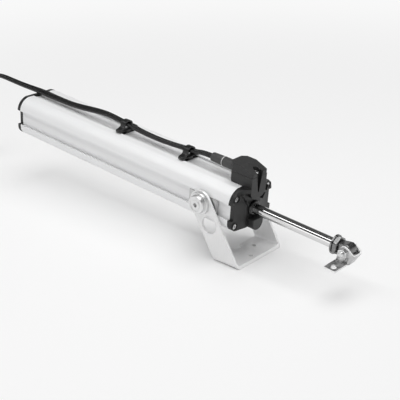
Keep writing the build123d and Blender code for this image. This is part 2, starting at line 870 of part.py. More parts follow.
# Bearing block across the profile, and the ball bearing in it
with BuildPart() as bearing_block:
    with BuildSketch(section.offset(block_rear)):
        add(cavity_outline(running))
        with Locations((0, rod_z)):
            Circle(block_hole_radius, mode=Mode.SUBTRACT)
    extrude(amount=block_length)
    with BuildSketch(rod_section.offset(block_rear)):
        Circle(bearing_radius)
    extrude(amount=bearing_width, mode=Mode.SUBTRACT)
bearing_block.part.label = "bearing_block"
export_step(bearing_block.part, "parts/bearing_block.step")

with BuildPart() as spindle_bearing:
    with BuildSketch(rod_section.offset(block_rear)):
        Circle(bearing_radius)
        Circle(spindle_radius + running, mode=Mode.SUBTRACT)
    extrude(amount=bearing_width)
spindle_bearing.part.label = "spindle_bearing"
export_step(spindle_bearing.part, "parts/spindle_bearing.step")

# Nut carrier that slides in the profile, and the brass nut in it
with BuildPart() as nut_carrier:
    with BuildSketch(section.offset(carrier_rear)):
        add(cavity_outline(carrier_clearance))
        with Locations((0, rod_z)):
            Circle(rod_radius, mode=Mode.SUBTRACT)
    extrude(amount=carrier_length)
    with BuildSketch(rod_section.offset(carrier_rear)):
        Circle(drive_nut_radius)
    extrude(amount=carrier_length - rod_insert, mode=Mode.SUBTRACT)
nut_carrier.part.label = "nut_carrier"
export_step(nut_carrier.part, "parts/nut_carrier.step")

with BuildPart() as drive_nut:
    with BuildSketch(rod_section.offset(rod_rear)):
        Circle(drive_nut_radius)
        Circle(spindle_radius + running, mode=Mode.SUBTRACT)
    extrude(amount=-drive_nut_length)
drive_nut.part.label = "drive_nut"
export_step(drive_nut.part, "parts/drive_nut.step")

# Push rod: a tube round the spindle, closed by a threaded plug
with BuildPart() as push_rod:
    with BuildSketch(rod_section.offset(rod_rear)):
        Circle(rod_radius)
    extrude(amount=rod_front - rod_rear)
    with BuildSketch(rod_section.offset(rod_rear)):
        Circle(rod_bore_radius)
    extrude(amount=rod_front - rod_plug - rod_rear, mode=Mode.SUBTRACT)
    with BuildSketch(rod_section.offset(rod_front)):
        Circle(eye_shank_radius)
    extrude(amount=-eye_shank_length, mode=Mode.SUBTRACT)
push_rod.part.label = "push_rod"
export_step(push_rod.part, "parts/push_rod.step")

with BuildPart() as rod_washer:
    with BuildSketch(rod_section.offset(rod_front)):
        Circle(washer_radius)
        Circle(eye_shank_radius, mode=Mode.SUBTRACT)
    extrude(amount=washer_thickness)
rod_washer.part.label = "rod_washer"
export_step(rod_washer.part, "parts/rod_washer.step")

# Lock nut with rounded corners
with BuildPart() as rod_lock_nut:
    with BuildSketch(rod_section.offset(washer_front)):
        RegularPolygon(nut_flats / 2, 6, major_radius=False)
        Circle(eye_shank_radius, mode=Mode.SUBTRACT)
    extrude(amount=nut_thickness)
    nut_corner = nut_flats / 2 / cos(pi / 6)
    nut_bevel = nut_corner - nut_flats / 2
    with BuildSketch(rod_side):
        with BuildLine():
            Polyline(
                (washer_front, 0),
                (washer_front, nut_corner),
                (nut_front - nut_bevel / 2, nut_corner),
                (nut_front, nut_flats / 2),
                (nut_front, 0),
                close=True,
            )
        make_face()
    revolve(axis=rod_axis, mode=Mode.INTERSECT)
rod_lock_nut.part.label = "rod_lock_nut"
export_step(rod_lock_nut.part, "parts/rod_lock_nut.step")

# Eye bolt
eye_half = end_gap / 2 - turning_gap
with BuildPart() as eye_bolt:
    with BuildSketch(rod_section.offset(rod_front - eye_shank_length)):
        Circle(eye_shank_radius)
    extrude(amount=nut_front + eye_shank_length - rod_front)
    with BuildSketch(rod_side):
        with BuildLine():
            Line((nut_front, -eye_bar_half), (nut_front, eye_bar_half))
        with Locations((eye_x, 0)):
            Circle(eye_radius)
        make_hull()
    extrude(amount=eye_half, both=True)
    fillet(eye_bolt.faces().sort_by(Axis.Y)[0].edges(), eye_edge)
    fillet(eye_bolt.faces().sort_by(Axis.Y)[-1].edges(), eye_edge)
    with BuildSketch(rod_side):
        with Locations((eye_x, 0)):
            Circle(pin_radius + running)
    extrude(amount=eye_half, both=True, mode=Mode.SUBTRACT)
eye_bolt.part.label = "eye_bolt"
export_step(eye_bolt.part, "parts/eye_bolt.step")

# End bracket: a U whose web leans against the pin, with a foot bent out of its right ear
pin_place = rod_origin + along * eye_x
web_lean = radians(end_tilt)
end_lean = lean + web_lean
end_along = Vector(cos(end_lean), 0, -sin(end_lean))
end_up = Vector(sin(end_lean), 0, cos(end_lean))
end_side = Plane(origin=pin_place, x_dir=along, z_dir=(0, -1, 0))
end_foot_plan = Plane(origin=pin_place, x_dir=along, z_dir=upward)
end_plan = Plane(origin=pin_place, x_dir=end_along, z_dir=end_up)
end_half = end_gap / 2 + end_sheet
web_top_x = end_reach * cos(web_lean) + end_top * sin(web_lean)
web_top_z = end_top * cos(web_lean) - end_reach * sin(web_lean)
web_low_x = end_reach / cos(web_lean) - end_low * tan(web_lean)
end_foot_front = web_low_x - end_relief
end_foot_back = end_foot_rear + end_relief
end_foot_middle = (end_foot_front + end_foot_back) / 2
with BuildPart() as end_bracket:
    with BuildSketch(end_side):
        Circle(end_ear_radius)
        with BuildLine():
            Polyline((web_top_x, web_top_z), (web_low_x, -end_low), (end_foot_rear, -end_low))
        make_hull()
    extrude(amount=end_half, both=True)
    with BuildSketch(end_plan) as end_outer:
        with Locations(((end_reach - end_foot_reach) / 2, 0)):
            Rectangle(end_reach + end_foot_reach, 2 * end_half)
        fillet(end_outer.vertices().group_by(Axis.X)[-1], end_bend + end_sheet)
    extrude(amount=end_foot_reach, both=True, mode=Mode.INTERSECT)
    with BuildSketch(end_plan) as end_inner:
        with Locations(((end_reach - end_sheet - end_foot_reach) / 2, 0)):
            Rectangle(end_reach - end_sheet + end_foot_reach, end_gap)
        fillet(end_inner.vertices().group_by(Axis.X)[-1], end_bend)
    extrude(amount=end_foot_reach, both=True, mode=Mode.SUBTRACT)
    with BuildSketch(end_foot_plan.offset(-end_low)) as end_foot:
        with Locations((end_foot_middle, -(end_foot_reach + end_gap / 2 + end_sheet / 2) / 2)):
            Rectangle(end_foot_front - end_foot_back, end_foot_reach - end_gap / 2 - end_sheet / 2)
        fillet(end_foot.vertices().group_by(Axis.Y)[0], end_foot_corner)
        with Locations((end_foot_middle, -end_foot_hole_y)):
            Circle(end_foot_hole_radius, mode=Mode.SUBTRACT)
    extrude(amount=end_sheet)
    with BuildSketch(end_side):
        Circle(pin_radius)
    extrude(amount=end_half, both=True, mode=Mode.SUBTRACT)
end_bracket.part.label = "end_bracket"
export_step(end_bracket.part, "parts/end_bracket.step")

# Pin through the end bracket and the eye, with a nut on its near end
with BuildPart() as pivot_pin:
    with BuildSketch(end_side.offset(-end_half)):
        Circle(pin_radius)
    extrude(amount=2 * end_half + pin_nut_height + pin_end)
    chamfer(pivot_pin.edges().sort_by(Axis.Y)[0], pin_chamfer)
    with BuildSketch(end_side.offset(-end_half)):
        Circle(pin_head_radius)
    extrude(amount=-pin_head_height)
    fillet(pivot_pin.edges().filter_by(GeomType.CIRCLE).sort_by(Axis.Y)[-1], pin_head_height / 2)
pivot_pin.part.label = "pivot_pin"
export_step(pivot_pin.part, "parts/pivot_pin.step")

with BuildPart() as pin_nut:
    with BuildSketch(end_side.offset(end_half)):
        RegularPolygon(pin_nut_flats / 2, 6, major_radius=False)
        Circle(pin_radius, mode=Mode.SUBTRACT)
    extrude(amount=pin_nut_height)
pin_nut.part.label = "pin_nut"
export_step(pin_nut.part, "parts/pin_nut.step")

# Cable gland behind the hump: body, seam ring and tapered sleeve
gland_section = section.offset(gland_ring_x)
gland_axis = Axis(actuator_point(0, 0, lid_base_z), along)
gland_side = Plane(origin=actuator_point(0, 0, lid_base_z), x_dir=along, z_dir=(0, -1, 0))
with BuildPart() as cable_gland_body:
    with BuildSketch(gland_side):
        with BuildLine():
            Polyline(
                (gland_ring_x, 0),
                (gland_ring_x, gland_radius),
                (hump_rear - gland_flange, gland_radius),
                (hump_rear - gland_flange, gland_flange_radius),
                (hump_rear, gland_flange_radius),
                (hump_rear, gland_radius),
                (hump_room_rear, gland_radius),
                (hump_room_rear, 0),
                close=True,
            )
        make_face()
    revolve(axis=gland_axis)
cable_gland_body.part.label = "cable_gland_body"
export_step(cable_gland_body.part, "parts/cable_gland_body.step")

with BuildPart() as cable_gland_sleeve:
    with BuildSketch(gland_side):
        with BuildLine():
            Polyline(
                (gland_end, 0),
                (gland_end, gland_end_radius),
                (gland_ring_x - gland_ring_length, gland_radius),
                (gland_ring_x - gland_ring_length, gland_ring_radius),
                (gland_ring_x, gland_ring_radius),
                (gland_ring_x, 0),
                close=True,
            )
        make_face()
    revolve(axis=gland_axis)
cable_gland_sleeve.part.label = "cable_gland_sleeve"
export_step(cable_gland_sleeve.part, "parts/cable_gland_sleeve.step")

# Cable clips: a foot that snaps into the top slot, a stem and a ring round both cables
foot_z = profile_high - top_slot_lip - running - clip_foot_thickness
ring_low = clip_z - clip_inner_height / 2 - clip_wall
for name, station in (("cable_clip_front", clip_front_x), ("cable_clip_rear", clip_rear_x)):
    with BuildPart() as cable_clip:
        with BuildSketch(section.offset(station - clip_length / 2)):
            with Locations((0, clip_z)):
                RectangleRounded(
                    clip_inner_length + 2 * clip_wall,
                    clip_inner_height + 2 * clip_wall,
                    clip_inner_height / 2 + clip_wall - running,
                )
            with Locations((0, (foot_z + clip_z) / 2)):
                Rectangle(clip_stem, clip_z - foot_z)
            with Locations((0, foot_z + clip_foot_thickness / 2)):
                Rectangle(2 * (top_slot_half + top_slot_undercut - sliding), clip_foot_thickness)
            with Locations((-(clip_inner_length + clip_tab) / 2 - clip_wall, clip_z)):
                Rectangle(clip_tab + clip_wall, clip_tab)
            with Locations((0, clip_z)):
                RectangleRounded(
                    clip_inner_length,
                    clip_inner_height,
                    clip_inner_height / 2 - running,
                    mode=Mode.SUBTRACT,
                )
        extrude(amount=clip_length)
    cable_clip.part.label = name
    export_step(cable_clip.part, "parts/" + name + ".step")

# Routes of the cables, along the actuator and then down to the ground beside it
route_a_on_actuator = [
    (gland_end, cable_y, lid_base_z),
    (-33.0, cable_y, lid_base_z),
    (-47.0, 2.3, 35.7),
    (-63.0, 2.3, 35.0),
    (-85.0, 2.5, 32.6),
    (-110.0, 2.3, 31.8),
    (-135.0, 2.5, 32.5),
    (-152.0, 2.3, 34.9),
    (-168.0, 2.3, 35.4),
    (-190.0, 2.0, 37.5),
    (-210.0, 3.5, 37.0),
    (-235.0, 5.0, 33.0),
    (-258.0, 4.0, 30.0),
    (-285.0, 3.5, 29.2),
    (-318.0, 2.5, 31.0),
    (-338.0, 2.5, 29.5),
    (-365.0, 2.2, 28.2),
    (-389.0, 2.5, 28.0),
    (-410.0, 2.3, 28.0),
]
route_a_to_ground = [
    (-463.0, 2.7, 123.5),
    (-476.0, 2.2, 114.0),
    (-483.5, 1.5, 99.0),
    (-485.0, 1.8, 80.0),
    (-483.5, 2.5, 60.0),
    (-484.2, 2.0, 41.0),
    (-484.0, -2.5, 22.0),
    (-484.0, -13.0, 8.0),
    (coil_x + coil_radius_a, coil_y, cable_radius),
]
route_b_on_actuator = [
    (gland_end, -cable_y, lid_base_z),
    (-33.0, -cable_y, lid_base_z),
    (-47.0, -2.3, 35.5),
    (-63.0, -2.3, 35.1),
    (-85.0, -2.2, 32.9),
    (-110.0, -2.5, 32.1),
    (-135.0, -2.3, 32.8),
    (-152.0, -2.3, 35.0),
    (-168.0, -2.3, 35.3),
    (-190.0, -3.0, 34.5),
    (-212.0, -3.0, 31.0),
    (-235.0, -5.0, 28.9),
    (-264.5, -12.0, 28.5),
    (-303.0, -8.0, 28.5),
    (-334.0, -3.0, 28.6),
    (-352.0, -2.5, 28.2),
    (-370.0, -2.3, 27.8),
    (-389.0, -2.4, 28.0),
    (-410.0, -2.3, 28.0),
]
route_b_to_ground = [
    (-460.0, -2.0, 122.5),
    (-472.0, -2.3, 112.0),
    (-478.5, -2.8, 97.0),
    (-480.0, -2.3, 79.0),
    (-479.0, -2.0, 60.0),
    (-479.8, -2.4, 42.0),
    (-479.6, -5.0, 23.5),
    (-479.6, -14.0, 9.0),
    (coil_x + coil_radius_b, coil_y, cable_radius),
]


def tail_points(radius, first_angle, last_angle):
    """The end of a cable that climbs off its coil, clockwise, to the height of its plug."""
    count = round((first_angle - last_angle) / tail_step)
    low = coil_height - cable_radius
    high = coil_height + plug_height / 2
    points = []
    for index in range(count + 1):
        angle = radians(first_angle - index * tail_step)
        share = index / count
        rise = share * share * (3 - 2 * share)
        height = low + (high - low) * rise
        points.append(Vector(coil_x + radius * cos(angle), coil_y + radius * sin(angle), height))
    return points


def corner_radii(points):
    """One radius for each corner, as large as its two runs allow."""
    radii = []
    for before, corner, after in zip(points, points[1:], points[2:]):
        first = corner - before
        second = after - corner
        half_turn = radians(first.get_angle(second)) / 2
        radii.append(bend_share * min(first.length, second.length) / tan(half_turn))
    return radii


# Cables: each has its run from the gland to the coil, and its tail from the coil to the plug
tail_a = tail_points(coil_radius_a, 0, -90)
tail_b = tail_points(coil_radius_b, 210, 120)
route_a = [actuator_point(*place) for place in route_a_on_actuator]
route_a += [Vector(*place) for place in route_a_to_ground]
route_b = [actuator_point(*place) for place in route_b_on_actuator]
route_b += [Vector(*place) for place in route_b_to_ground]
for name, route, tail in (("cable_a", route_a, tail_a), ("cable_b", route_b, tail_b)):
    with BuildPart() as cable:
        for points in (route, tail):
            radii = corner_radii(points)
            print(name, "corner radii", [round(radius, 1) for radius in radii])
            with BuildLine():
                path = FilletPolyline(*points, radius=radii)
            with BuildSketch(Plane(origin=path @ 0, z_dir=path % 0)):
                Circle(cable_radius)
            sweep(path=path)
            print(name, "length", round(path.length, 1))
    cable.part.label = name
    export_step(cable.part, "parts/" + name + ".step")

# The coil of both cables as one closed ring
with BuildPart() as cable_coil:
    with BuildSketch(Plane.XY):
        with Locations((coil_x, coil_y)):
            Circle(coil_radius_b + cable_radius)
            Circle(coil_radius_a - cable_radius, mode=Mode.SUBTRACT)
    extrude(amount=coil_height)
cable_coil.part.label = "cable_coil"
export_step(cable_coil.part, "parts/cable_coil.step")

# Plugs at the cables' ends, lying on the coil
for name, tail in (("plug_a", tail_a), ("plug_b", tail_b)):
    heading = tail[-1] - tail[-2]
    heading = Vector(heading.X, heading.Y, 0).normalized()
    plug_plane = Plane(origin=tail[-1], x_dir=(0, 0, 1), z_dir=heading)
    with BuildPart() as plug:
        with BuildSketch(plug_plane):
            RectangleRounded(plug_height, plug_width, plug_corner)
        extrude(amount=plug_length)
        with BuildSketch(plug_plane.offset(plug_length)):
            RectangleRounded(
                plug_height - 2 * plug_nose_inset,
                plug_width - 2 * plug_nose_inset,
                plug_nose_inset,
            )
        extrude(amount=plug_nose)
    plug.part.label = name
    export_step(plug.part, "parts/" + name + ".step")
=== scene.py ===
import json
from math import cos, pi, radians, sin

import bmesh
import bpy
import numpy as np
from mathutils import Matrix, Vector


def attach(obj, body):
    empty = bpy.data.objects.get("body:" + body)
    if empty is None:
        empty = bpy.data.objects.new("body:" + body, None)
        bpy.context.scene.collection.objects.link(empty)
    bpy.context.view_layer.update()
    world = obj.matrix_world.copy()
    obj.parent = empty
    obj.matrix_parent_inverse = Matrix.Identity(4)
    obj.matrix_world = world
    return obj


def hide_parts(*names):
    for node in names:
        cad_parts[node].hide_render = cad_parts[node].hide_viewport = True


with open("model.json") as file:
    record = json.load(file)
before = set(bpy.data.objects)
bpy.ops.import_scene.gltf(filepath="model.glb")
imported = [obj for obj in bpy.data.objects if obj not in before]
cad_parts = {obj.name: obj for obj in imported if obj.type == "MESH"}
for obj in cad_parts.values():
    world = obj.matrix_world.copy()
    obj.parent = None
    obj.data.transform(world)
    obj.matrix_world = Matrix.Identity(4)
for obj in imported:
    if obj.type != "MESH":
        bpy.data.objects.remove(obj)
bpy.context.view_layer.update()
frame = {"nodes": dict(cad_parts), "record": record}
nodes = frame["nodes"]
MM = 0.001
UP = np.array([0.0, 0.0, 1.0])

# The actuator's lean, and the planes that its parts are placed in
LEAN = radians(4.4)
PIVOT = np.array([-39.0, 0.0, 66.0]) * MM
ALONG = np.array([cos(LEAN), 0.0, -sin(LEAN)])
ACROSS = np.array([0.0, 1.0, 0.0])
UPWARD = np.array([sin(LEAN), 0.0, cos(LEAN)])
ROD_Z = -2.0

# Camera, as the photograph was taken
CAMERA_AZIMUTH = radians(41.8)
CAMERA_ELEVATION = radians(24.1)
CAMERA_DISTANCE = 1081.4 * MM
CAMERA_TARGET = Vector((-74.6, 0.0, 45.7)) * MM
CAMERA_LENS = 82.1
CAMERA_SENSOR = 36.0


def actuator_place(x, y, z):
    """A point in metres from millimetres along, across and above the actuator's pivot line."""
    return tuple(PIVOT + (ALONG * x + ACROSS * y + UPWARD * z) * MM)


def make_camera():
    """A camera that looks at the target from the given azimuth and elevation."""
    data = bpy.data.cameras.new("camera")
    data.lens = CAMERA_LENS
    data.sensor_width = CAMERA_SENSOR
    data.sensor_fit = "AUTO"
    data.clip_start = 0.01
    data.clip_end = 50.0
    camera = bpy.data.objects.new("camera", data)
    level = cos(CAMERA_ELEVATION)
    towards = Vector((sin(CAMERA_AZIMUTH) * level, -cos(CAMERA_AZIMUTH) * level, sin(CAMERA_ELEVATION)))
    camera.location = CAMERA_TARGET + towards * CAMERA_DISTANCE
    camera.rotation_euler = towards.to_track_quat("Z", "Y").to_euler()
    bpy.context.scene.collection.objects.link(camera)
    bpy.context.scene.camera = camera


def actuator_points(x, y, z):
    """Arrays of millimetres along, across and above the pivot line, as metres in the shared frame."""
    x, y, z = np.broadcast_arrays(x, y, z)
    return PIVOT + (x[..., None] * ALONG + y[..., None] * ACROSS + z[..., None] * UPWARD) * MM


def circle(steps):
    """Angles once round, as one row."""
    return np.linspace(0.0, 2 * pi, steps, endpoint=False)[None]


def bell(distance, width):
    """A bell curve of the distance: 1 at nought, and little beyond the width."""
    return np.exp(-(distance / width) ** 2)


def skin(grid, closed=False):
    """Points and faces of a grid whose columns run round the piece and whose rows run along it.

    Each row joins the next with quads. A closed skin joins its last row to its first, and an open one
    gets a flat face at both ends.
    """
    rows, columns = grid.shape[:2]
    number = np.arange(rows * columns).reshape(rows, columns)
    after = np.roll(number, -1, axis=1)
    quads = np.stack([number, after, np.roll(after, -1, axis=0), np.roll(number, -1, axis=0)], -1)
    if closed:
        return grid.reshape(-1, 3), quads.reshape(-1, 4).tolist()
    faces = quads[:-1].reshape(-1, 4).tolist() + [number[0][::-1].tolist(), number[-1].tolist()]
    return grid.reshape(-1, 3), faces


ROUND_STEPS = 64
SHARP_ANGLE = 38.0


def make_piece(name, skins, body, sharp=SHARP_ANGLE):
    """One object from closed skins, with faces outwards, smooth below the sharp angle."""
    points = np.vstack([skin_points for skin_points, faces in skins])
    starts = np.cumsum([0] + [len(skin_points) for skin_points, faces in skins])
    faces = [[start + k for k in face] for start, (skin_points, rows) in zip(starts, skins) for face in rows]
    data = bpy.data.meshes.new(name)
    data.from_pydata(points.tolist(), [], faces)
    shape = bmesh.new()
    shape.from_mesh(data)
    bmesh.ops.recalc_face_normals(shape, faces=shape.faces)
    shape.to_mesh(data)
    shape.free()
    data.shade_smooth()
    data.set_sharp_from_angle(angle=radians(sharp))
    piece = bpy.data.objects.new(name, data)
    bpy.context.scene.collection.objects.link(piece)
    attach(piece, body)
    return piece


LINE_STEPS = 6


def smooth_line(points):
    """A line through the points: each run is the cubic whose end slopes are half its neighbours' difference."""
    p = np.asarray(points, float)
    p = np.vstack([2 * p[0] - p[1], p, 2 * p[-1] - p[-2]])
    t = np.linspace(0.0, 1.0, LINE_STEPS, endpoint=False)[None, :, None]
    before, start, end, after = (p[k:len(p) - 3 + k, None, :] for k in range(4))
    even = 2 * start + (end - before) * t
    bend = (2 * before - 5 * start + 4 * end - after) * t**2 + (3 * start - before - 3 * end + after) * t**3
    return np.vstack([(0.5 * (even + bend)).reshape(-1, p.shape[1]), p[-2]])


def band_outline(line, half, cap_steps=9):
    """A band's outline: its centre line moved to both sides by half its thickness, with half circles as ends."""
    slope = np.gradient(line, axis=0)
    slope /= np.linalg.norm(slope, axis=1, keepdims=True)
    side = np.stack([-slope[:, 1], slope[:, 0]], 1)
    half = np.broadcast_to(half, len(line))[:, None]
    turn = np.linspace(0.0, pi, cap_steps + 2)[1:-1, None]
    last = line[-1] + half[-1] * (side[-1] * np.cos(turn) + slope[-1] * np.sin(turn))
    first = line[0] - half[0] * (side[0] * np.cos(turn) + slope[0] * np.sin(turn))
    return np.vstack([line + side * half, last, (line - side * half)[::-1], first])


def rounded_prism(outline, low, high, edge, steps=5):
    """An outline carried from low to high: near both ends a quarter circle of the edge radius draws it in.

    Gives the rows of outline points, and each row's place along the prism.
    """
    forward = np.roll(outline, -1, axis=0) - np.roll(outline, 1, axis=0)
    forward /= np.linalg.norm(forward, axis=1, keepdims=True)
    ahead = np.roll(outline, -1, axis=0)
    area = np.sum(outline[:, 0] * ahead[:, 1] - outline[:, 1] * ahead[:, 0])
    inward = np.stack([-forward[:, 1], forward[:, 0]], 1) * np.sign(area)
    turn = np.linspace(0.0, pi / 2, steps)
    inset = edge * (1 - np.sin(turn))
    rise = edge * (1 - np.cos(turn))
    insets = np.concatenate([inset, inset[::-1]])[:, None, None]
    return outline + inward * insets, np.concatenate([low + rise, high - rise[::-1]])


def pill(middle, half_width, cap_steps):
    """The outline of a short straight bar with half circles as ends, from places along its middle line."""
    return band_outline(np.stack([middle, np.zeros(len(middle))], 1), half_width, cap_steps)


def across_prism(outline, low, high, edge):
    """A rounded prism whose outline lies across the actuator, in (y, z), and which runs along it."""
    rows, places = rounded_prism(outline, low, high, edge)
    return skin(actuator_points(places[:, None], rows[..., 0], rows[..., 1]))


def turned(profile, height, closed=False):
    """Rows of (place along the actuator, radius), each swept in a circle round the line at the height."""
    profile = np.asarray(profile, float)
    turn = circle(ROUND_STEPS)
    place, radius = profile[:, :1], profile[:, 1:]
    return skin(actuator_points(place + 0 * turn, radius * np.cos(turn), height + radius * np.sin(turn)), closed)


CORNER_SHARE = 0.45


def rounded_profile(corners, edge, steps=4):
    """A profile whose inner corners are cut by a parabola that starts and ends one edge length from each."""
    corners = np.asarray(corners, float)
    before = corners[:-2] - corners[1:-1]
    after = corners[2:] - corners[1:-1]
    reach_before = np.linalg.norm(before, axis=1, keepdims=True)
    reach_after = np.linalg.norm(after, axis=1, keepdims=True)
    start = corners[1:-1] + before / reach_before * np.minimum(edge, CORNER_SHARE * reach_before)
    end = corners[1:-1] + after / reach_after * np.minimum(edge, CORNER_SHARE * reach_after)
    t = np.linspace(0.0, 1.0, steps + 1)[None, :, None]
    arcs = (1 - t) ** 2 * start[:, None] + 2 * t * (1 - t) * corners[1:-1, None] + t**2 * end[:, None]
    return np.vstack([corners[:1], arcs.reshape(-1, 2), corners[-1:]])


NUT_CHAMFER = radians(30.0)
NUT_FACE = 0.97
NUT_STEPS = 144
NUT_CONE_STEPS = 5


def hex_nut(flats, low, high, bore):
    """Rows round a hexagonal nut: a flat stands off by half the flats over the cosine of the turn from its middle.

    Near both faces a cone, which starts a little inside the flats' circle, cuts the corners off.
    """
    turn = circle(NUT_STEPS)
    apothem = flats / 2
    hexagon = apothem / np.cos((turn + pi / 6) % (pi / 3) - pi / 6)
    rise = (apothem / cos(pi / 6) - apothem) * np.tan(NUT_CHAMFER)
    depth = np.linspace(0.0, 1.0, NUT_CONE_STEPS)[:, None] * rise
    outer = np.minimum(hexagon, apothem * NUT_FACE + depth / np.tan(NUT_CHAMFER))
    radius = np.vstack([outer, outer[::-1], np.full((2, NUT_STEPS), bore)])
    places = np.concatenate([low + depth[:, 0], high - depth[::-1, 0], [high, low]])
    return places[:, None] + 0 * turn, radius * np.cos(turn), radius * np.sin(turn)


make_camera()

# Cables
CABLE_RADIUS = 2.1
COIL_CENTRE = (-508.0, -30.0)
COIL_RADIUS_A = 24.0
COIL_RADIUS_B = 28.4
COIL_STEPS = 16
COIL_LIFT = 0.9
COIL_TOP = 21.0
COIL_RISE = 1.1
WOUND_A, WOUND_B = 1440.0, 1230.0
TAIL_STEP = 30.0
TAIL_A = (0.0, -90.0)
TAIL_B = (210.0, 120.0)
PLUG_HEIGHT = 7.0
GLAND_END = -18.7
SMOOTHNESS = 6

ROUTE_A_ON_ACTUATOR = [
    (GLAND_END, 2.3, 39.0),
    (-33.0, 2.3, 39.0),
    (-47.0, 2.3, 35.7),
    (-63.0, 2.3, 35.0),
    (-85.0, 2.5, 32.6),
    (-110.0, 2.3, 31.8),
    (-135.0, 2.5, 32.5),
    (-152.0, 2.3, 34.9),
    (-168.0, 2.3, 35.4),
    (-190.0, 2.0, 37.5),
    (-210.0, 2.2, 36.6),
    (-235.0, 2.4, 33.2),
    (-258.0, 1.8, 30.6),
    (-285.0, 1.6, 30.0),
    (-318.0, 2.2, 30.6),
    (-338.0, 2.5, 29.5),
    (-365.0, 2.2, 28.2),
    (-389.0, 2.5, 28.0),
    (-410.0, 2.3, 28.0),
]
ROUTE_A_TO_GROUND = [
    (-463.0, 2.7, 123.5),
    (-476.0, 2.2, 114.0),
    (-483.5, 1.5, 99.0),
    (-485.0, 1.8, 80.0),
    (-483.5, 2.5, 60.0),
    (-484.2, 2.0, 41.0),
    (-484.0, -2.5, 22.0),
    (-484.0, -13.0, 8.0),
]
ROUTE_B_ON_ACTUATOR = [
    (GLAND_END, -2.3, 39.0),
    (-33.0, -2.3, 39.0),
    (-47.0, -2.3, 35.5),
    (-63.0, -2.3, 35.1),
    (-85.0, -2.2, 32.9),
    (-110.0, -2.5, 32.1),
    (-135.0, -2.3, 32.8),
    (-152.0, -2.3, 35.0),
    (-168.0, -2.3, 35.3),
    (-190.0, -2.5, 36.7),
    (-212.0, -2.5, 34.8),
    (-235.0, -2.3, 31.4),
    (-264.5, -2.8, 29.2),
    (-303.0, -2.9, 28.8),
    (-334.0, -2.5, 28.8),
    (-352.0, -2.5, 28.2),
    (-370.0, -2.3, 27.8),
    (-389.0, -2.4, 28.0),
    (-410.0, -2.3, 28.0),
]
ROUTE_B_TO_GROUND = [
    (-460.0, -2.0, 122.5),
    (-472.0, -2.3, 112.0),
    (-478.5, -2.8, 97.0),
    (-480.0, -2.3, 79.0),
    (-479.0, -2.0, 60.0),
    (-479.8, -2.4, 42.0),
    (-479.6, -5.0, 23.5),
    (-479.6, -14.0, 9.0),
]


def coil_points(radius, first, last, low, high):
    """A helix, clockwise from above: control points stand out by 1 / cos(half a step) to keep its radius."""
    count = round((first - last) / 360.0 * COIL_STEPS)
    angles = np.radians(np.linspace(first, last, count + 1))
    reach = radius / cos(pi / COIL_STEPS)
    heights = np.linspace(low, high, count + 1)
    x = COIL_CENTRE[0] + reach * np.cos(angles)
    y = COIL_CENTRE[1] + reach * np.sin(angles)
    return np.stack([x, y, heights], 1)


def tail_points(radius, first, last):
    """The cable's end climbs off the coil on an ease curve to the middle height of its plug."""
    count = round((first - last) / TAIL_STEP)
    share = np.linspace(0.0, 1.0, count + 1)
    angles = np.radians(first - share * (first - last))
    low = COIL_TOP - CABLE_RADIUS
    high = COIL_TOP + PLUG_HEIGHT / 2
    heights = low + (high - low) * share * share * (3 - 2 * share)
    x = COIL_CENTRE[0] + radius * np.cos(angles)
    y = COIL_CENTRE[1] + radius * np.sin(angles)
    return np.stack([x, y, heights], 1)


def make_cable(name, on_actuator, to_ground, radius, wound, tail):
    """One smooth line from the gland along the actuator, down, round the coil and up to the plug.

    The coil starts where it rests on its ties and ends just above the height that its tail starts from.
    """
    points = [np.array(actuator_place(*place)) for place in on_actuator]
    points += [np.array(place) * MM for place in to_ground]
    coil = coil_points(radius, 0.0, -wound, CABLE_RADIUS + COIL_LIFT, COIL_TOP - CABLE_RADIUS + COIL_RISE)
    points += list(coil * MM) + list(tail_points(radius, *tail)[1:] * MM)
    data = bpy.data.curves.new(name, "CURVE")
    data.dimensions = "3D"
    data.bevel_depth = CABLE_RADIUS
    data.bevel_resolution = SMOOTHNESS
    data.resolution_u = SMOOTHNESS
    data.use_fill_caps = True
    spline = data.splines.new("NURBS")
    spline.points.add(len(points) - 1)
    rows = np.ones((len(points), 4))
    rows[:, :3] = np.array(points)
    spline.points.foreach_set("co", rows.ravel())
    spline.points.foreach_set("radius", np.full(len(points), MM))
    spline.order_u = 3
    spline.use_endpoint_u = True
    cable = bpy.data.objects.new(name, data)
    bpy.context.scene.collection.objects.link(cable)
    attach(cable, "housing")
    return cable


# Gland behind the hump: profiles of (place along the actuator, radius)
HUMP_REAR = 15.8
GLAND_Z = 39.0
SEAM_X = -1.5
SEAM_HALF = 0.5
CORE = 0.5
NUT_EDGE = 0.5
SLEEVE_EDGE = 0.6
GLAND_NUT = [(HUMP_REAR + 1.0, CORE), (HUMP_REAR + 1.0, 7.2), (HUMP_REAR - 1.4, 7.2), (HUMP_REAR - 1.4, 5.9),
             (SEAM_X + SEAM_HALF, 5.9), (SEAM_X + SEAM_HALF, CORE)]
GLAND_SLEEVE = [(SEAM_X - SEAM_HALF, CORE), (SEAM_X - SEAM_HALF, 5.8), (GLAND_END + 1.0, 5.4),
                (GLAND_END - 0.1, 4.9), (GLAND_END - 0.1, CORE)]
GLAND_SEAM = [(SEAM_X - SEAM_HALF, 4.5), (SEAM_X - 0.45, 5.9), (SEAM_X, 6.15), (SEAM_X + 0.45, 5.9),
              (SEAM_X + SEAM_HALF, 4.5)]


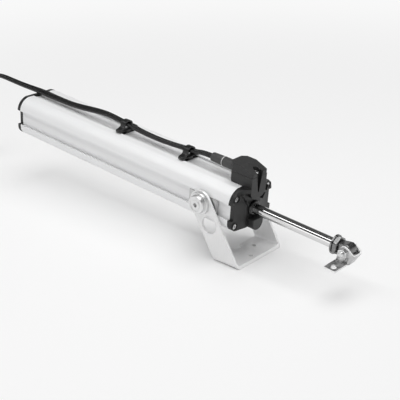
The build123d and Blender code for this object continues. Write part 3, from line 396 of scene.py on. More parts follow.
def make_gland():
    """The gland's nut and sleeve, two turned shells with soft edges, and a seam ring between them, which is later
    coloured pale grey as a painted highlight.
    """
    nut = turned(rounded_profile(GLAND_NUT, NUT_EDGE), GLAND_Z)
    body = make_piece("gland_nut", [nut], "housing")
    sleeve = turned(rounded_profile(GLAND_SLEEVE, SLEEVE_EDGE), GLAND_Z)
    boot = make_piece("gland_boot", [sleeve], "housing")
    seam = make_piece("gland_seam", [turned(GLAND_SEAM, GLAND_Z, closed=True)], "housing")
    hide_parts("cable_gland_body")
    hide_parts("cable_gland_sleeve")
    return body, boot, seam


# Cable clips
CLIP_FRONT_X, CLIP_REAR_X = -55.0, -160.0
CLIP_HALF_LENGTH = 4.0
CLIP_LOOP = [(-12.4, 28.6), (-9.6, 30.2), (-7.0, 32.6), (-5.9, 35.6), (-4.2, 38.0), (-1.6, 39.2), (1.6, 39.2),
             (4.2, 38.0), (5.7, 35.6), (5.9, 32.6), (6.4, 30.0), (7.2, 28.4)]
CLIP_BAND = 0.95
CLIP_LIP = 0.9
CLIP_LIP_SHARE = 0.08
CLIP_BASE_Z = 27.6
CLIP_BASE_HALF = 13.4
CLIP_BASE_THICK = 0.8
CLIP_BASE_STEPS = 41
CLIP_BULB = 1.5
CLIP_BULB_WIDTH = 2.6
CLIP_BULB_LIFT = 0.9
CLIP_LIFT_WIDTH = 3.0
CLIP_FOOT = [(-3.5, 26.9), (-3.5, 24.5), (-13.2, 24.5), (-13.2, 23.4), (13.2, 23.4), (13.2, 24.5), (3.5, 24.5),
             (3.5, 26.9)]
CLIP_EDGE = 0.5
CLIP_BASE_INSET = 0.4
CLIP_FOOT_INSET = 1.0
CLIP_FOOT_EDGE = 0.1


def make_clip(name, node, place):
    """A snap clip: a base strap that swells to a bulb at both ends, a loop over the cables, and a foot in the slot.

    A swell is the half thickness plus a bell curve of the distance to the strap's nearer end, or to the
    loop's lip.
    """
    line = smooth_line(CLIP_LOOP)
    loop = band_outline(line, CLIP_BAND + CLIP_LIP * bell(np.linspace(0.0, 1.0, len(line)), CLIP_LIP_SHARE))
    y = np.linspace(-CLIP_BASE_HALF, CLIP_BASE_HALF, CLIP_BASE_STEPS)
    to_end = CLIP_BASE_HALF - np.abs(y)
    z = CLIP_BASE_Z + CLIP_BULB_LIFT * bell(to_end, CLIP_LIFT_WIDTH)
    strap = band_outline(np.stack([y, z], 1), CLIP_BASE_THICK + CLIP_BULB * bell(to_end, CLIP_BULB_WIDTH))
    low, high = place - CLIP_HALF_LENGTH, place + CLIP_HALF_LENGTH
    skins = [across_prism(loop, low, high, CLIP_EDGE),
             across_prism(strap, low + CLIP_BASE_INSET, high - CLIP_BASE_INSET, CLIP_EDGE),
             across_prism(np.array(CLIP_FOOT), low + CLIP_FOOT_INSET, high - CLIP_FOOT_INSET, CLIP_FOOT_EDGE)]
    clip = make_piece(name, skins, "housing")
    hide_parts(node)
    return clip


# Rod end: nuts and the pin, whose head, shank and tip are rows of (place across the actuator, radius)
EYE_X = 173.2
ROD_NUT = dict(flats=19.0, low=157.8, high=163.2, bore=4.05)
PIN_RADIUS = 3.0
PIN_NUT = dict(flats=10.0, low=-13.3, high=-8.3, bore=PIN_RADIUS + 0.05)
NUT_SHARP_ANGLE = 24.0
PIN_TIP_Y = -16.3
PIN_HEAD = [(11.5, 0.3), (11.4, 2.4), (11.0, 3.7), (10.3, 4.6), (9.4, 5.0), (8.35, 5.0), (8.3, 4.9), (8.3, 3.0)]
PIN_SHANK = [(7.0, PIN_RADIUS), (-8.0, PIN_RADIUS)]
PIN_TIP = [(PIN_TIP_Y + 0.5, 2.6), (PIN_TIP_Y, 2.2), (PIN_TIP_Y, 0.3)]
THREAD_START, THREAD_END = -8.2, PIN_TIP_Y + 0.7
THREAD_PITCH = 1.0
THREAD_DEPTH = 0.14
THREAD_DROP = 0.16
THREAD_FLATNESS = 1.5
THREAD_STEPS = 97


def make_lock_nut():
    """The hexagonal nut behind the eye, on the rod's line."""
    place, side, height = hex_nut(**ROD_NUT)
    grid = actuator_points(place, side, ROD_Z + height)
    nut = make_piece("lock_nut", [skin(grid, True)], "rod", NUT_SHARP_ANGLE)
    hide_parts("rod_lock_nut")
    return nut


def make_pin_nut():
    """The small nut on the pin's near end, on the line across the actuator."""
    place, side, height = hex_nut(**PIN_NUT)
    grid = actuator_points(EYE_X + side, place, ROD_Z + height)
    nut = make_piece("pin_end_nut", [skin(grid, True)], "end", NUT_SHARP_ANGLE)
    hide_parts("pin_nut")
    return nut


def make_pin():
    """A domed head, a plain shank, and a thread: its radius is a clipped sine of place over pitch less turn."""
    turn = circle(ROUND_STEPS)
    thread = np.linspace(THREAD_START, THREAD_END, THREAD_STEPS)[:, None]
    wave = np.clip(THREAD_FLATNESS * np.sin(2 * pi * thread / THREAD_PITCH - turn), -1.0, 1.0)
    head = np.array(PIN_HEAD + PIN_SHANK)
    tip = np.array(PIN_TIP)
    place = np.vstack([head[:, :1], thread, tip[:, :1]]) + 0 * turn
    radius = np.vstack([head[:, 1:] + 0 * turn, PIN_RADIUS - THREAD_DROP + THREAD_DEPTH * wave,
                        tip[:, 1:] + 0 * turn])
    grid = actuator_points(EYE_X + radius * np.cos(turn), place, ROD_Z + radius * np.sin(turn))
    pin = make_piece("end_pin", [skin(grid)], "end")
    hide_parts("pivot_pin")
    return pin


# End bracket: a bent sheet whose web leans, and a foot with a hole at its near ear
END_TILT = radians(28.0)
END_SHEET = 2.0
END_INNER = 6.3
END_MIDDLE = END_INNER + END_SHEET / 2
END_REACH = 12.0
END_EAR = 6.5
END_TOP = 5.0
END_LOW = 14.0
END_BEND = 3.0
END_SHARP_ANGLE = 50.0
EAR_START = 0.1
EAR_STEPS, RUN_STEPS, BEND_STEPS, ARC_STEPS = 14, 8, 9, 24
# Round the sheet: share of half its thickness, share of its height, and lift
SHEET_EDGE = 0.35
SHEET_LOOP = [(SHEET_EDGE - 1.0, 0, 0.0), (-1.0, 0, SHEET_EDGE), (-1.0, 1, -SHEET_EDGE), (SHEET_EDGE - 1.0, 1, 0.0),
              (1.0 - SHEET_EDGE, 1, 0.0), (1.0, 1, -SHEET_EDGE), (1.0, 0, SHEET_EDGE), (1.0 - SHEET_EDGE, 0, 0.0)]
SHEET_CUT = [1.0, 0.0, 1.0, 1.0, 1.0, 0.0, 1.0, 1.0]
FOOT_REAR, FOOT_FRONT = -9.4, 5.2
FOOT_TIP = -30.0
FOOT_POWER = 14
FOOT_STEPS = 96
FOOT_HOLE = np.array([-0.78, -24.0])
FOOT_HOLE_RADIUS = 3.0
# From the foot's outline to its hole: share of the way, and share of half the thickness
FOOT_RINGS = [(0.0, 0.75), (0.025, 1.0), (0.5, 1.0), (0.97, 1.0), (1.0, 0.85)]
FOOT_CUT = [1.0, 0.0, 0.0, 1.0, 1.0, 1.0, 0.0, 0.0, 1.0, 1.0]


def ear_heights(x):
    """Lowest and highest point of the ear at each x in the leaning frame.

    Its outline is the tightest band round a circle, the web's two corners and the foot's rear corner.
    """
    web_low = (END_REACH, END_REACH * np.tan(END_TILT) - END_LOW / cos(END_TILT))
    rear_x = FOOT_REAR * cos(END_TILT) + END_LOW * sin(END_TILT)
    rear_z = FOOT_REAR * sin(END_TILT) - END_LOW * cos(END_TILT)
    top_tangent = np.arctan2(END_TOP, END_REACH) + np.arccos(END_EAR / np.hypot(END_REACH, END_TOP))
    low_tangent = np.arctan2(rear_z, rear_x) - np.arccos(END_EAR / np.hypot(rear_x, rear_z))
    above = np.linspace(pi, top_tangent, ARC_STEPS)
    below = np.linspace(-pi, low_tangent, ARC_STEPS)
    high = np.interp(x, np.append(END_EAR * np.cos(above), END_REACH), np.append(END_EAR * np.sin(above), END_TOP))
    low = np.interp(x, np.concatenate([END_EAR * np.cos(below), [rear_x, web_low[0]]]),
                    np.concatenate([END_EAR * np.sin(below), [rear_z, web_low[1]]]))
    return low, high


def sheet_plan():
    """The sheet's middle line in plan: an ear, a quarter circle to the web's middle, and their mirror image."""
    bend_x = END_REACH - END_SHEET / 2 - END_BEND
    round_end = -END_EAR * np.cos(np.linspace(EAR_START, pi / 2, EAR_STEPS))
    x = np.concatenate([round_end, np.linspace(0.0, bend_x, RUN_STEPS)[1:]])
    turn = np.linspace(0.0, pi / 2, BEND_STEPS)[1:]
    ear = np.stack([x, np.full(len(x), END_MIDDLE)], 1)
    bend = np.stack([bend_x + END_BEND * np.sin(turn), END_MIDDLE - END_BEND + END_BEND * np.cos(turn)], 1)
    half = np.vstack([ear, bend])
    return np.vstack([half, half[::-1] * (1.0, -1.0)])


def bent_strap():
    """The middle line thickened to both sides, between the ear's two height curves, and 1 for each cut face."""
    plan = sheet_plan()
    slope = np.gradient(plan, axis=0)
    slope /= np.linalg.norm(slope, axis=1, keepdims=True)
    side = np.stack([-slope[:, 1], slope[:, 0]], 1)
    low, high = ear_heights(np.minimum(plan[:, 0] + np.abs(slope[:, 1]), END_REACH))
    across, share, lift = np.array(SHEET_LOOP).T[:, None]
    x = plan[:, :1] + side[:, :1] * across * END_SHEET / 2
    y = plan[:, 1:] + side[:, 1:] * across * END_SHEET / 2
    z = low[:, None] * (1 - share) + high[:, None] * share + lift
    along = x * cos(END_TILT) + z * sin(END_TILT)
    above = z * cos(END_TILT) - x * sin(END_TILT)
    strap = skin(actuator_points(EYE_X + along, y, ROD_Z + above))
    return strap, np.concatenate([np.tile(SHEET_CUT, len(plan) - 1), [1.0, 1.0]])


def foot_plate():
    """Rings from the rounded rectangle |x/a|^14 + |y/b|^14 = 1 to the hole's circle, and 1 for each cut face."""
    turn = circle(FOOT_STEPS)[0]
    ray = np.stack([np.cos(turn), np.sin(turn)], 1)
    reach = np.sum(np.abs(ray) ** FOOT_POWER, axis=1, keepdims=True) ** (-1 / FOOT_POWER)
    centre = np.array([FOOT_FRONT + FOOT_REAR, FOOT_TIP - END_MIDDLE]) / 2
    half = np.array([FOOT_FRONT - FOOT_REAR, -END_MIDDLE - FOOT_TIP]) / 2
    share, thickness = np.array(FOOT_RINGS).T[:, :, None, None]
    rings = (centre + half * reach * ray) * (1 - share) + (FOOT_HOLE + FOOT_HOLE_RADIUS * ray) * share
    rise = thickness[..., 0] * END_SHEET / 2 + 0 * rings[..., 0]
    rings = np.vstack([rings, rings[::-1]])
    height = ROD_Z - END_LOW + END_SHEET / 2 + np.vstack([rise, -rise[::-1]])
    plate = skin(actuator_points(EYE_X + rings[..., 0], rings[..., 1], height), True)
    return plate, np.repeat(FOOT_CUT, FOOT_STEPS)


def make_end_bracket():
    """The bent strap and its foot, with their cut faces marked for the painted highlight in their finish."""
    strap, strap_cuts = bent_strap()
    plate, plate_cuts = foot_plate()
    bracket = make_piece("end_sheet", [strap, plate], "end", END_SHARP_ANGLE)
    cuts = bracket.data.attributes.new("cut", "FLOAT", "FACE")
    cuts.data.foreach_set("value", np.concatenate([strap_cuts, plate_cuts]))
    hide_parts("end_bracket")
    return bracket


# Plugs and ties on the coil
PLUG_ROWS = [(0.0, 0.50), (0.2, 0.55), (1.0, 0.58), (2.2, 0.62), (3.0, 0.56), (3.8, 0.64), (4.6, 0.58), (5.4, 0.70),
             (6.0, 0.94), (7.0, 1.0), (17.4, 1.0), (17.9, 0.97), (18.0, 0.92), (18.0, 0.76), (22.4, 0.76),
             (23.0, 0.72), (23.0, 0.6), (19.0, 0.6)]
PLUG_HALF_WIDTH, PLUG_HALF_HEIGHT = 4.0, 3.5
PLUG_POWER = 4
PLUG_STEPS = 48
CONTACTS = [(-1.2, -0.8), (1.2, -0.8), (0.0, 1.1)]
CONTACT_ROWS = [(18.8, 0.4), (22.0, 0.4), (22.3, 0.2)]
RIB_STATIONS = (9.0, 10.8, 12.6, 14.4)
RIB_MIDDLE, RIB_HALF_WIDTH = (-1.9, -0.6, 0.6, 1.9), 0.35
RIB_LOW, RIB_HIGH, RIB_EDGE = 3.6, 4.25, 0.15
TIE_LOOP = [(26.3, 0.45), (22.6, 0.7), (21.2, 2.6), (21.2, 11.0), (21.2, 20.2), (22.6, 22.3), (26.3, 22.75),
            (30.0, 22.3), (31.4, 20.2), (31.4, 11.0), (31.4, 2.6), (30.0, 0.7)]
TIE_SECTION = [(0.4, -1.1), (0.4, 1.1), (0.25, 1.3), (-0.25, 1.3), (-0.4, 1.1), (-0.4, -1.1), (-0.25, -1.3),
               (0.25, -1.3)]
TIE_NEAR_BEARING, TIE_FAR_BEARING = 65.0, 208.0
LOCK_HEIGHT = 12.0
LOCK_MIDDLE, LOCK_ROUNDING = (-1.1, -0.3, 0.3, 1.1), 1.9
LOCK_IN, LOCK_OUT, LOCK_EDGE = 31.2, 34.4, 0.5
STUB_MIDDLE, STUB_ROUNDING, STUB_FLATNESS = (-0.5, -0.2, 0.2, 0.5), 0.6, 0.6
STUB_IN, STUB_OUT, STUB_EDGE = 33.0, 38.0, 0.2


def placed(origin, axes, steps):
    """Arrays of millimetres along three axes from an origin in millimetres, as metres in the shared frame."""
    steps = np.broadcast_arrays(*steps)
    return (np.array(origin) + sum(step[..., None] * axis for step, axis in zip(steps, axes))) * MM


def make_plug(name, node, place, heading):
    """A moulded plug: the rounded rectangle |y/a|^4 + |z/b|^4 = 1, scaled row by row from boot to open nose.

    Three contacts stand in the nose, and four grip ribs on each side.
    """
    axes = (np.array([*heading, 0.0]), np.array([-heading[1], heading[0], 0.0]), UP)
    turn = circle(PLUG_STEPS)
    across = PLUG_HALF_WIDTH * np.sign(np.cos(turn)) * np.abs(np.cos(turn)) ** (2 / PLUG_POWER)
    above = PLUG_HALF_HEIGHT * np.sign(np.sin(turn)) * np.abs(np.sin(turn)) ** (2 / PLUG_POWER)
    station, reach = np.array(PLUG_ROWS).T[:, :, None]
    skins = [skin(placed(place, axes, (station, reach * across, reach * above)))]
    station, radius = np.array(CONTACT_ROWS).T[:, :, None]
    for y, z in CONTACTS:
        skins.append(skin(placed(place, axes, (station, y + radius * np.cos(turn), z + radius * np.sin(turn)))))
    rows, depths = rounded_prism(pill(RIB_MIDDLE, RIB_HALF_WIDTH, cap_steps=5), RIB_LOW, RIB_HIGH, RIB_EDGE, steps=3)
    for side in (-1.0, 1.0):
        for station in RIB_STATIONS:
            skins.append(skin(placed(place, axes, (station + rows[..., 1], side * depths[:, None], rows[..., 0]))))
    plug = make_piece(name, skins, "housing")
    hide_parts(node)
    return plug


def make_tie(name, bearing):
    """A strap round the coil's bundle: a closed smooth line, thickened, with its lock and tail.

    The line is drawn one run further at both ends and cut back, so that it closes smoothly.
    """
    angle = radians(bearing)
    axes = (np.array([cos(angle), sin(angle), 0.0]), np.array([-sin(angle), cos(angle), 0.0]), UP)
    centre = (*COIL_CENTRE, 0.0)
    line = smooth_line(TIE_LOOP[-1:] + TIE_LOOP + TIE_LOOP[:2])[LINE_STEPS:-LINE_STEPS - 1]
    slope = np.roll(line, -1, axis=0) - np.roll(line, 1, axis=0)
    slope /= np.linalg.norm(slope, axis=1, keepdims=True)
    side = np.stack([slope[:, 1], -slope[:, 0]], 1)
    depth, across = np.array(TIE_SECTION).T[:, None]
    out, height = line[:, :1] + side[:, :1] * depth, line[:, 1:] + side[:, 1:] * depth
    strap = skin(placed(centre, axes, (out, across, height)), True)
    rows, depths = rounded_prism(pill(LOCK_MIDDLE, LOCK_ROUNDING, cap_steps=7), LOCK_IN, LOCK_OUT, LOCK_EDGE, steps=4)
    lock = skin(placed(centre, axes, (depths[:, None], rows[..., 0], LOCK_HEIGHT + rows[..., 1])))
    rows, depths = rounded_prism(pill(STUB_MIDDLE, STUB_ROUNDING, cap_steps=5), STUB_IN, STUB_OUT, STUB_EDGE, steps=3)
    stub = skin(placed(centre, axes, (depths[:, None], rows[..., 0], LOCK_HEIGHT + STUB_FLATNESS * rows[..., 1])))
    return make_piece(name, [strap, lock, stub], "housing")


def plug_place(radius, bearing):
    """Where a tail ends, at the middle height of its plug, and the way it heads there."""
    angle = radians(bearing)
    place = (COIL_CENTRE[0] + radius * cos(angle), COIL_CENTRE[1] + radius * sin(angle), COIL_TOP + PLUG_HEIGHT / 2)
    return place, (sin(angle), -cos(angle))


gland_nut, gland_boot, gland_seam = make_gland()
clip_front = make_clip("clip_front", "cable_clip_front", CLIP_FRONT_X)
clip_rear = make_clip("clip_rear", "cable_clip_rear", CLIP_REAR_X)
lock_nut = make_lock_nut()
pin_end_nut = make_pin_nut()
end_pin = make_pin()
end_sheet = make_end_bracket()
plug_on_a = make_plug("plug_on_a", "plug_a", *plug_place(COIL_RADIUS_A, TAIL_A[1]))
plug_on_b = make_plug("plug_on_b", "plug_b", *plug_place(COIL_RADIUS_B, TAIL_B[1]))
tie_near = make_tie("tie_near", TIE_NEAR_BEARING)
tie_far = make_tie("tie_far", TIE_FAR_BEARING)

cable_a = make_cable("cable_a_sheath", ROUTE_A_ON_ACTUATOR, ROUTE_A_TO_GROUND, COIL_RADIUS_A, WOUND_A, TAIL_A)
cable_b = make_cable("cable_b_sheath", ROUTE_B_ON_ACTUATOR, ROUTE_B_TO_GROUND, COIL_RADIUS_B, WOUND_B, TAIL_B)
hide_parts("cable_a", "cable_coil")
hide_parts("cable_b")


# Finishes
def add_node(tree, kind, sockets=None, **settings):
    """A node with its settings made, and each socket given a number or a link from another node's output."""
    node = tree.nodes.new("ShaderNode" + kind)
    for name, value in settings.items():
        setattr(node, name, value)
    for socket, value in (sockets or {}).items():
        if isinstance(value, bpy.types.NodeSocket):
            tree.links.new(value, node.inputs[socket])
        else:
            node.inputs[socket].default_value = value
    return node


def worked_out(tree, operation, *values):
    """The result of a sum on one or two values."""
    return add_node(tree, "Math", dict(enumerate(values)), operation=operation).outputs[0]


def ranged(tree, value, start, end, low, high, interpolation="LINEAR"):
    """A value between start and end, moved to between low and high."""
    sockets = {"Value": value, "From Min": start, "From Max": end, "To Min": low, "To Max": high}
    return add_node(tree, "MapRange", sockets, interpolation_type=interpolation).outputs["Result"]


def mixed(tree, share, first, second):
    """A number between two, by the share."""
    return add_node(tree, "Mix", {"Factor": share, "A": first, "B": second}).outputs["Result"]


def mixed_colour(tree, share, first, second):
    """A colour between two, by the share, through the Mix node's colour sockets, which come after its others."""
    return add_node(tree, "Mix", {0: share, 6: first, 7: second}, data_type="RGBA").outputs[2]


def new_material(name):
    """A node material with a Principled shader, and a node that gives the object's own coordinates."""
    material = bpy.data.materials.new(name)
    material.use_nodes = True
    tree = material.node_tree
    tree.nodes.clear()
    shader = add_node(tree, "BsdfPrincipled")
    add_node(tree, "OutputMaterial", {"Surface": shader.outputs["BSDF"]})
    return material, tree, shader, add_node(tree, "TexCoord")


def patterned(tree, place, grain, detail, turn=(0.0, 0.0, 0.0)):
    """A noise pattern between 0 and 1 on the object's coordinates, turned and stretched to a grain's size."""
    sockets = {"Vector": place.outputs["Object"], "Rotation": turn, "Scale": grain}
    vector = add_node(tree, "Mapping", sockets, vector_type="TEXTURE").outputs["Vector"]
    return add_node(tree, "TexNoise", {"Vector": vector, "Scale": 1.0, "Detail": detail}).outputs["Fac"]


PATTERN_LOW, PATTERN_HIGH = 0.3, 0.7
METAL_DETAIL, PLASTIC_DETAIL = 4.0, 2.0
BEVEL_SAMPLES = 8


def tinted(tree, pattern, dark, light):
    """A colour between two, chosen by the pattern's middle range."""
    ramp = add_node(tree, "ValToRGB", {"Fac": pattern})
    low, high = ramp.color_ramp.elements
    low.position, low.color = PATTERN_LOW, (*dark, 1.0)
    high.position, high.color = PATTERN_HIGH, (*light, 1.0)
    return ramp.outputs["Color"]


def bumped(tree, shader, pattern, distance, edge):
    """Fine relief from the pattern, over edges that are softened by a small radius."""
    soft = add_node(tree, "Bevel", {"Radius": edge}, samples=BEVEL_SAMPLES)
    sockets = {"Strength": 1.0, "Distance": distance, "Height": pattern, "Normal": soft.outputs["Normal"]}
    tree.links.new(add_node(tree, "Bump", sockets).outputs["Normal"], shader.inputs["Normal"])


def finished(name, dark, light, rough, grain, relief, edge, bare=0.0, turn=(0.0, 0.0, 0.0), broad=None):
    """A finish whose grain shows in its gloss and relief, and in its colour unless that has a broad pattern."""
    material, tree, shader, place = new_material(name)
    detail = METAL_DETAIL if bare else PLASTIC_DETAIL
    pattern = patterned(tree, place, grain, detail, turn)
    tone = patterned(tree, place, broad, detail) if broad else pattern
    tree.links.new(tinted(tree, tone, dark, light), shader.inputs["Base Color"])
    tree.links.new(ranged(tree, pattern, PATTERN_LOW, PATTERN_HIGH, *rough), shader.inputs["Roughness"])
    shader.inputs["Metallic"].default_value = bare
    bumped(tree, shader, pattern, relief, edge)
    return material


def metal(name, dark, light, rough, grain, relief, turn=(0.0, LEAN, 0.0), edge=0.0003, bare=1.0):
    """Metal with a grain stretched one way; an oxide or zinc layer leaves it less bare."""
    return finished(name, dark, light, rough, grain, relief, edge, bare, turn)


def moulding(name, dark, light, rough, grain_size, relief, edge=0.0004):
    """Moulded plastic or rubber with an even fine grain, and a tone that drifts over a couple of centimetres."""
    return finished(name, dark, light, rough, (grain_size,) * 3, relief, edge, broad=(0.02, 0.02, 0.02))


def grey(value):
    """A neutral colour."""
    return (value, value, value)


# Painted highlight: a sheet's cut faces get a near-white, hardly metallic colour in place of the bright reflections
# along its edges
CUT_HIGHLIGHT_TONE = (*grey(0.95), 1.0)
CUT_HIGHLIGHT_BARE = 0.1
FACING = 0.3


def paint_cut_highlights(material, cut):
    """Paints a highlight on a sheet's cut faces, where the value is 1: they turn paler and less metallic than its
    rolled ones, standing in for the bright reflections along its edges.
    """
    tree = material.node_tree
    shader = next(node for node in tree.nodes if node.type == "BSDF_PRINCIPLED")
    colour, bare = shader.inputs["Base Color"], shader.inputs["Metallic"]
    tree.links.new(mixed_colour(tree, cut, colour.links[0].from_socket, CUT_HIGHLIGHT_TONE), colour)
    tree.links.new(mixed(tree, cut, bare.default_value, CUT_HIGHLIGHT_BARE), bare)


def facing_along(material):
    """1 on the faces that face forwards or back, which on the swivel bracket are its cut ones and get the painted
    highlight.
    """
    tree = material.node_tree
    parts = add_node(tree, "SeparateXYZ", {"Vector": add_node(tree, "TexCoord").outputs["Normal"]})
    return worked_out(tree, "GREATER_THAN", worked_out(tree, "ABSOLUTE", parts.outputs["X"]), FACING)


def marked(material, name):
    """The value that a piece's faces carry under a name."""
    return add_node(material.node_tree, "Attribute", attribute_name=name).outputs["Fac"]


anodised = metal("anodised", (0.83, 0.833, 0.837), (0.86, 0.863, 0.867), (0.50, 0.58), (0.25, 0.0006, 0.0006),
                 0.00001, bare=0.2)
zinc_sheet = metal("zinc_sheet", grey(0.78), grey(0.83), (0.38, 0.46), (0.0008, 0.0008, 0.02), 0.00001,
                   turn=(0.0, 0.0, 0.0), edge=0.0006, bare=0.45)
milled = metal("milled", grey(0.50), grey(0.58), (0.30, 0.40), (0.01, 0.0005, 0.0005), 0.00001)
polished = metal("polished", grey(0.72), grey(0.78), (0.29, 0.35), (0.004, 0.004, 0.004), 0.000004)
bright_sheet = metal("bright_sheet", grey(0.50), grey(0.56), (0.28, 0.36), (0.0006, 0.006, 0.006), 0.000004)
chrome = metal("chrome", grey(0.70), grey(0.74), (0.05, 0.08), (0.0006, 0.02, 0.02), 0.000002)
nut_steel = metal("nut_steel", grey(0.20), grey(0.26), (0.22, 0.30), (0.003, 0.003, 0.003), 0.00001)
zinc_bright = metal("zinc_bright", grey(0.60), grey(0.68), (0.20, 0.30), (0.003, 0.003, 0.003), 0.00001, edge=0.0005)
cast = metal("cast", grey(0.36), grey(0.42), (0.40, 0.50), (0.001, 0.001, 0.001), 0.00003)
brass = metal("brass_turned", (0.66, 0.46, 0.18), (0.74, 0.54, 0.24), (0.22, 0.30), (0.0005, 0.01, 0.01), 0.00001)
black_shell = moulding("black_shell", grey(0.009), grey(0.013), (0.38, 0.48), 0.0006, 0.00003)
gland_black = moulding("gland_black", grey(0.045), grey(0.055), (0.40, 0.50), 0.0006, 0.00002)
seal_black = moulding("seal_black", grey(0.012), grey(0.016), (0.6, 0.7), 0.0005, 0.00002)
clip_black = moulding("clip_black", grey(0.012), grey(0.016), (0.18, 0.26), 0.0008, 0.000008, edge=0.0003)
# Painted highlight: the seam ring's pale grey stands in for the bright line of light along the gland's seam
seam_highlight_grey = moulding("seam_highlight_grey", grey(0.60), grey(0.70), (0.4, 0.5), 0.0008, 0.00001, edge=0.0002)
gloss_black = moulding("gloss_black", grey(0.008), grey(0.010), (0.08, 0.14), 0.001, 0.000005)
sheath_black = moulding("sheath_black", grey(0.007), grey(0.010), (0.20, 0.28), 0.0008, 0.000008)
acetal = moulding("acetal", (0.78, 0.77, 0.72), (0.82, 0.81, 0.77), (0.35, 0.45), 0.001, 0.00001)
board = moulding("board", (0.02, 0.12, 0.05), (0.03, 0.16, 0.07), (0.3, 0.4), 0.002, 0.00001)
terminal = moulding("terminal", (0.03, 0.16, 0.08), (0.04, 0.20, 0.10), (0.4, 0.5), 0.001, 0.00001)
# Painted highlight on the cut faces of both brackets
paint_cut_highlights(zinc_sheet, facing_along(zinc_sheet))
paint_cut_highlights(bright_sheet, marked(bright_sheet, "cut"))

NODE_FINISHES = {
    "bracket_steel": zinc_sheet,
    "slider_steel": milled,
    "polished_steel": polished,
    "washer_plastic": black_shell,
    "anodised_aluminium": anodised,
    "black_plastic": black_shell,
    "seal_rubber": seal_black,
    "screw_steel": zinc_bright,
    "bush_plastic": acetal,
    "wiper_black": gloss_black,
    "motor_steel": cast,
    "gearbox_metal": cast,
    "block_aluminium": milled,
    "board_green": board,
    "terminal_plastic": terminal,
    "gland_plastic": gland_black,
    "gland_rubber": gland_black,
    "clip_plastic": gland_black,
    "cable_sheath": sheath_black,
    "plug_plastic": gland_black,
    "spindle_steel": milled,
    "rod_chrome": chrome,
    "nut_brass": brass,
    "nut_steel": nut_steel,
    "polished_sheet": bright_sheet,
}
PIECE_FINISHES = [
    (sheath_black, [cable_a, cable_b]),
    (gland_black, [gland_nut, gland_boot, plug_on_a, plug_on_b]),
    (clip_black, [clip_front, clip_rear, tie_near, tie_far]),
    (seam_highlight_grey, [gland_seam]),
    (nut_steel, [lock_nut]),
    (bright_sheet, [end_sheet]),
    (polished, [pin_end_nut, end_pin]),
]
for row in frame["record"]["subparts"]:
    slots = nodes[row["node"]].data.materials
    slots.clear()
    slots.append(NODE_FINISHES[row["material_slot"]])
for finish, pieces in PIECE_FINISHES:
    for piece in pieces:
        piece.data.materials.append(finish)

# Floor, lamps and world, in metres
FLOOR_HALF = 4.0
FLOOR_DROP = 0.0002
FLOOR_TONE = (*grey(0.86), 1.0)
# Painted shade: reach in metres over which the floor's white is held back near the middle, and its share there
PAINTED_SHADE = (0.03, 0.13, 0.1, 1.0)
GLOW = (0.3, 1.6, 0.5, 0.92)
SURROUND = (sin(radians(12.0)), sin(radians(27.0)), 0.8, 0.09)
BACKDROP = 0.95
LAMP_TARGET = (0.0, 0.05)
LAMPS = [
    ("lamp_key", (0.05, 0.1, 1.5), (1.0, 1.6), 19.0),
    ("lamp_strip", (-0.6, -0.64, 1.2), (1.8, 0.16), 5.0),
    ("lamp_front", (-0.1, -1.7, 0.35), (1.6, 0.5), 2.0),
]


def seen_rays(tree):
    """1 for rays that come from the camera, a mirror or glass, and 0 for the rest."""
    path = add_node(tree, "LightPath").outputs
    both = worked_out(tree, "MAXIMUM", path["Is Camera Ray"], path["Is Glossy Ray"])
    return worked_out(tree, "MAXIMUM", both, path["Is Transmission Ray"])


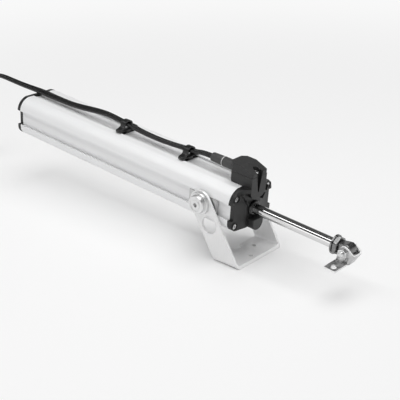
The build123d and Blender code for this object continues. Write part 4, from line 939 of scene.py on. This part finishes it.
def make_floor():
    """A pale level floor that keeps its shadows; for the camera and for mirrors it fades to white further out.

    Close to the middle, under the bracket, it hardly fades at all, and its white is held back there: a painted shade
    that darkens the floor round and under the bracket.
    """
    data = bpy.data.meshes.new("floor")
    h = FLOOR_HALF
    data.from_pydata([(-h, -h, 0), (h, -h, 0), (h, h, 0), (-h, h, 0)], [], [(0, 1, 2, 3)])
    floor = bpy.data.objects.new("floor", data)
    bpy.context.scene.collection.objects.link(floor)
    floor.location.z = -FLOOR_DROP
    material, tree, shader, place = new_material("floor_paper")
    shader.inputs["Base Color"].default_value = FLOOR_TONE
    shader.inputs["Roughness"].default_value = 0.7
    shader.inputs["Specular IOR Level"].default_value = 0.1
    reach = add_node(tree, "VectorMath", {0: place.outputs["Object"]}, operation="LENGTH").outputs["Value"]
    # Painted shade round and under the bracket, where the white is held back
    painted_shade = ranged(tree, reach, *PAINTED_SHADE, "SMOOTHSTEP")
    glow = ranged(tree, reach, *GLOW, "SMOOTHSTEP")
    share = worked_out(tree, "MULTIPLY", worked_out(tree, "MULTIPLY", painted_shade, seen_rays(tree)), glow)
    white = add_node(tree, "Emission")
    blend = add_node(tree, "MixShader", {0: share, 1: shader.outputs["BSDF"], 2: white.outputs["Emission"]})
    output = next(node for node in tree.nodes if node.type == "OUTPUT_MATERIAL")
    tree.links.new(blend.outputs["Shader"], output.inputs["Surface"])
    data.materials.append(material)


def make_lamp(name, place, size, watts):
    """A soft rectangular lamp that faces the actuator's line square on."""
    data = bpy.data.lights.new(name, "AREA")
    data.shape = "RECTANGLE"
    data.size, data.size_y = size
    data.energy = watts
    lamp = bpy.data.objects.new(name, data)
    lamp.location = place
    away = Vector(place) - Vector((place[0], *LAMP_TARGET))
    lamp.rotation_euler = away.to_track_quat("Z", "Y").to_euler()
    bpy.context.scene.collection.objects.link(lamp)


def make_world():
    """A white sweep low down and a dark ceiling, by the height of the direction; the camera sees only white."""
    world = bpy.data.worlds.new("studio")
    bpy.context.scene.world = world
    world.use_nodes = True
    tree = world.node_tree
    back = tree.nodes["Background"]
    back.inputs["Color"].default_value = (1.0, 1.0, 1.0, 1.0)
    parts = add_node(tree, "SeparateXYZ", {"Vector": add_node(tree, "TexCoord").outputs["Generated"]})
    level = ranged(tree, parts.outputs["Z"], *SURROUND, "SMOOTHSTEP")
    camera_ray = add_node(tree, "LightPath").outputs["Is Camera Ray"]
    tree.links.new(mixed(tree, camera_ray, level, BACKDROP), back.inputs["Strength"])


make_floor()
for lamp in LAMPS:
    make_lamp(*lamp)
make_world()
bpy.context.scene.view_settings.view_transform = "Standard"

bpy.context.view_layer.update()
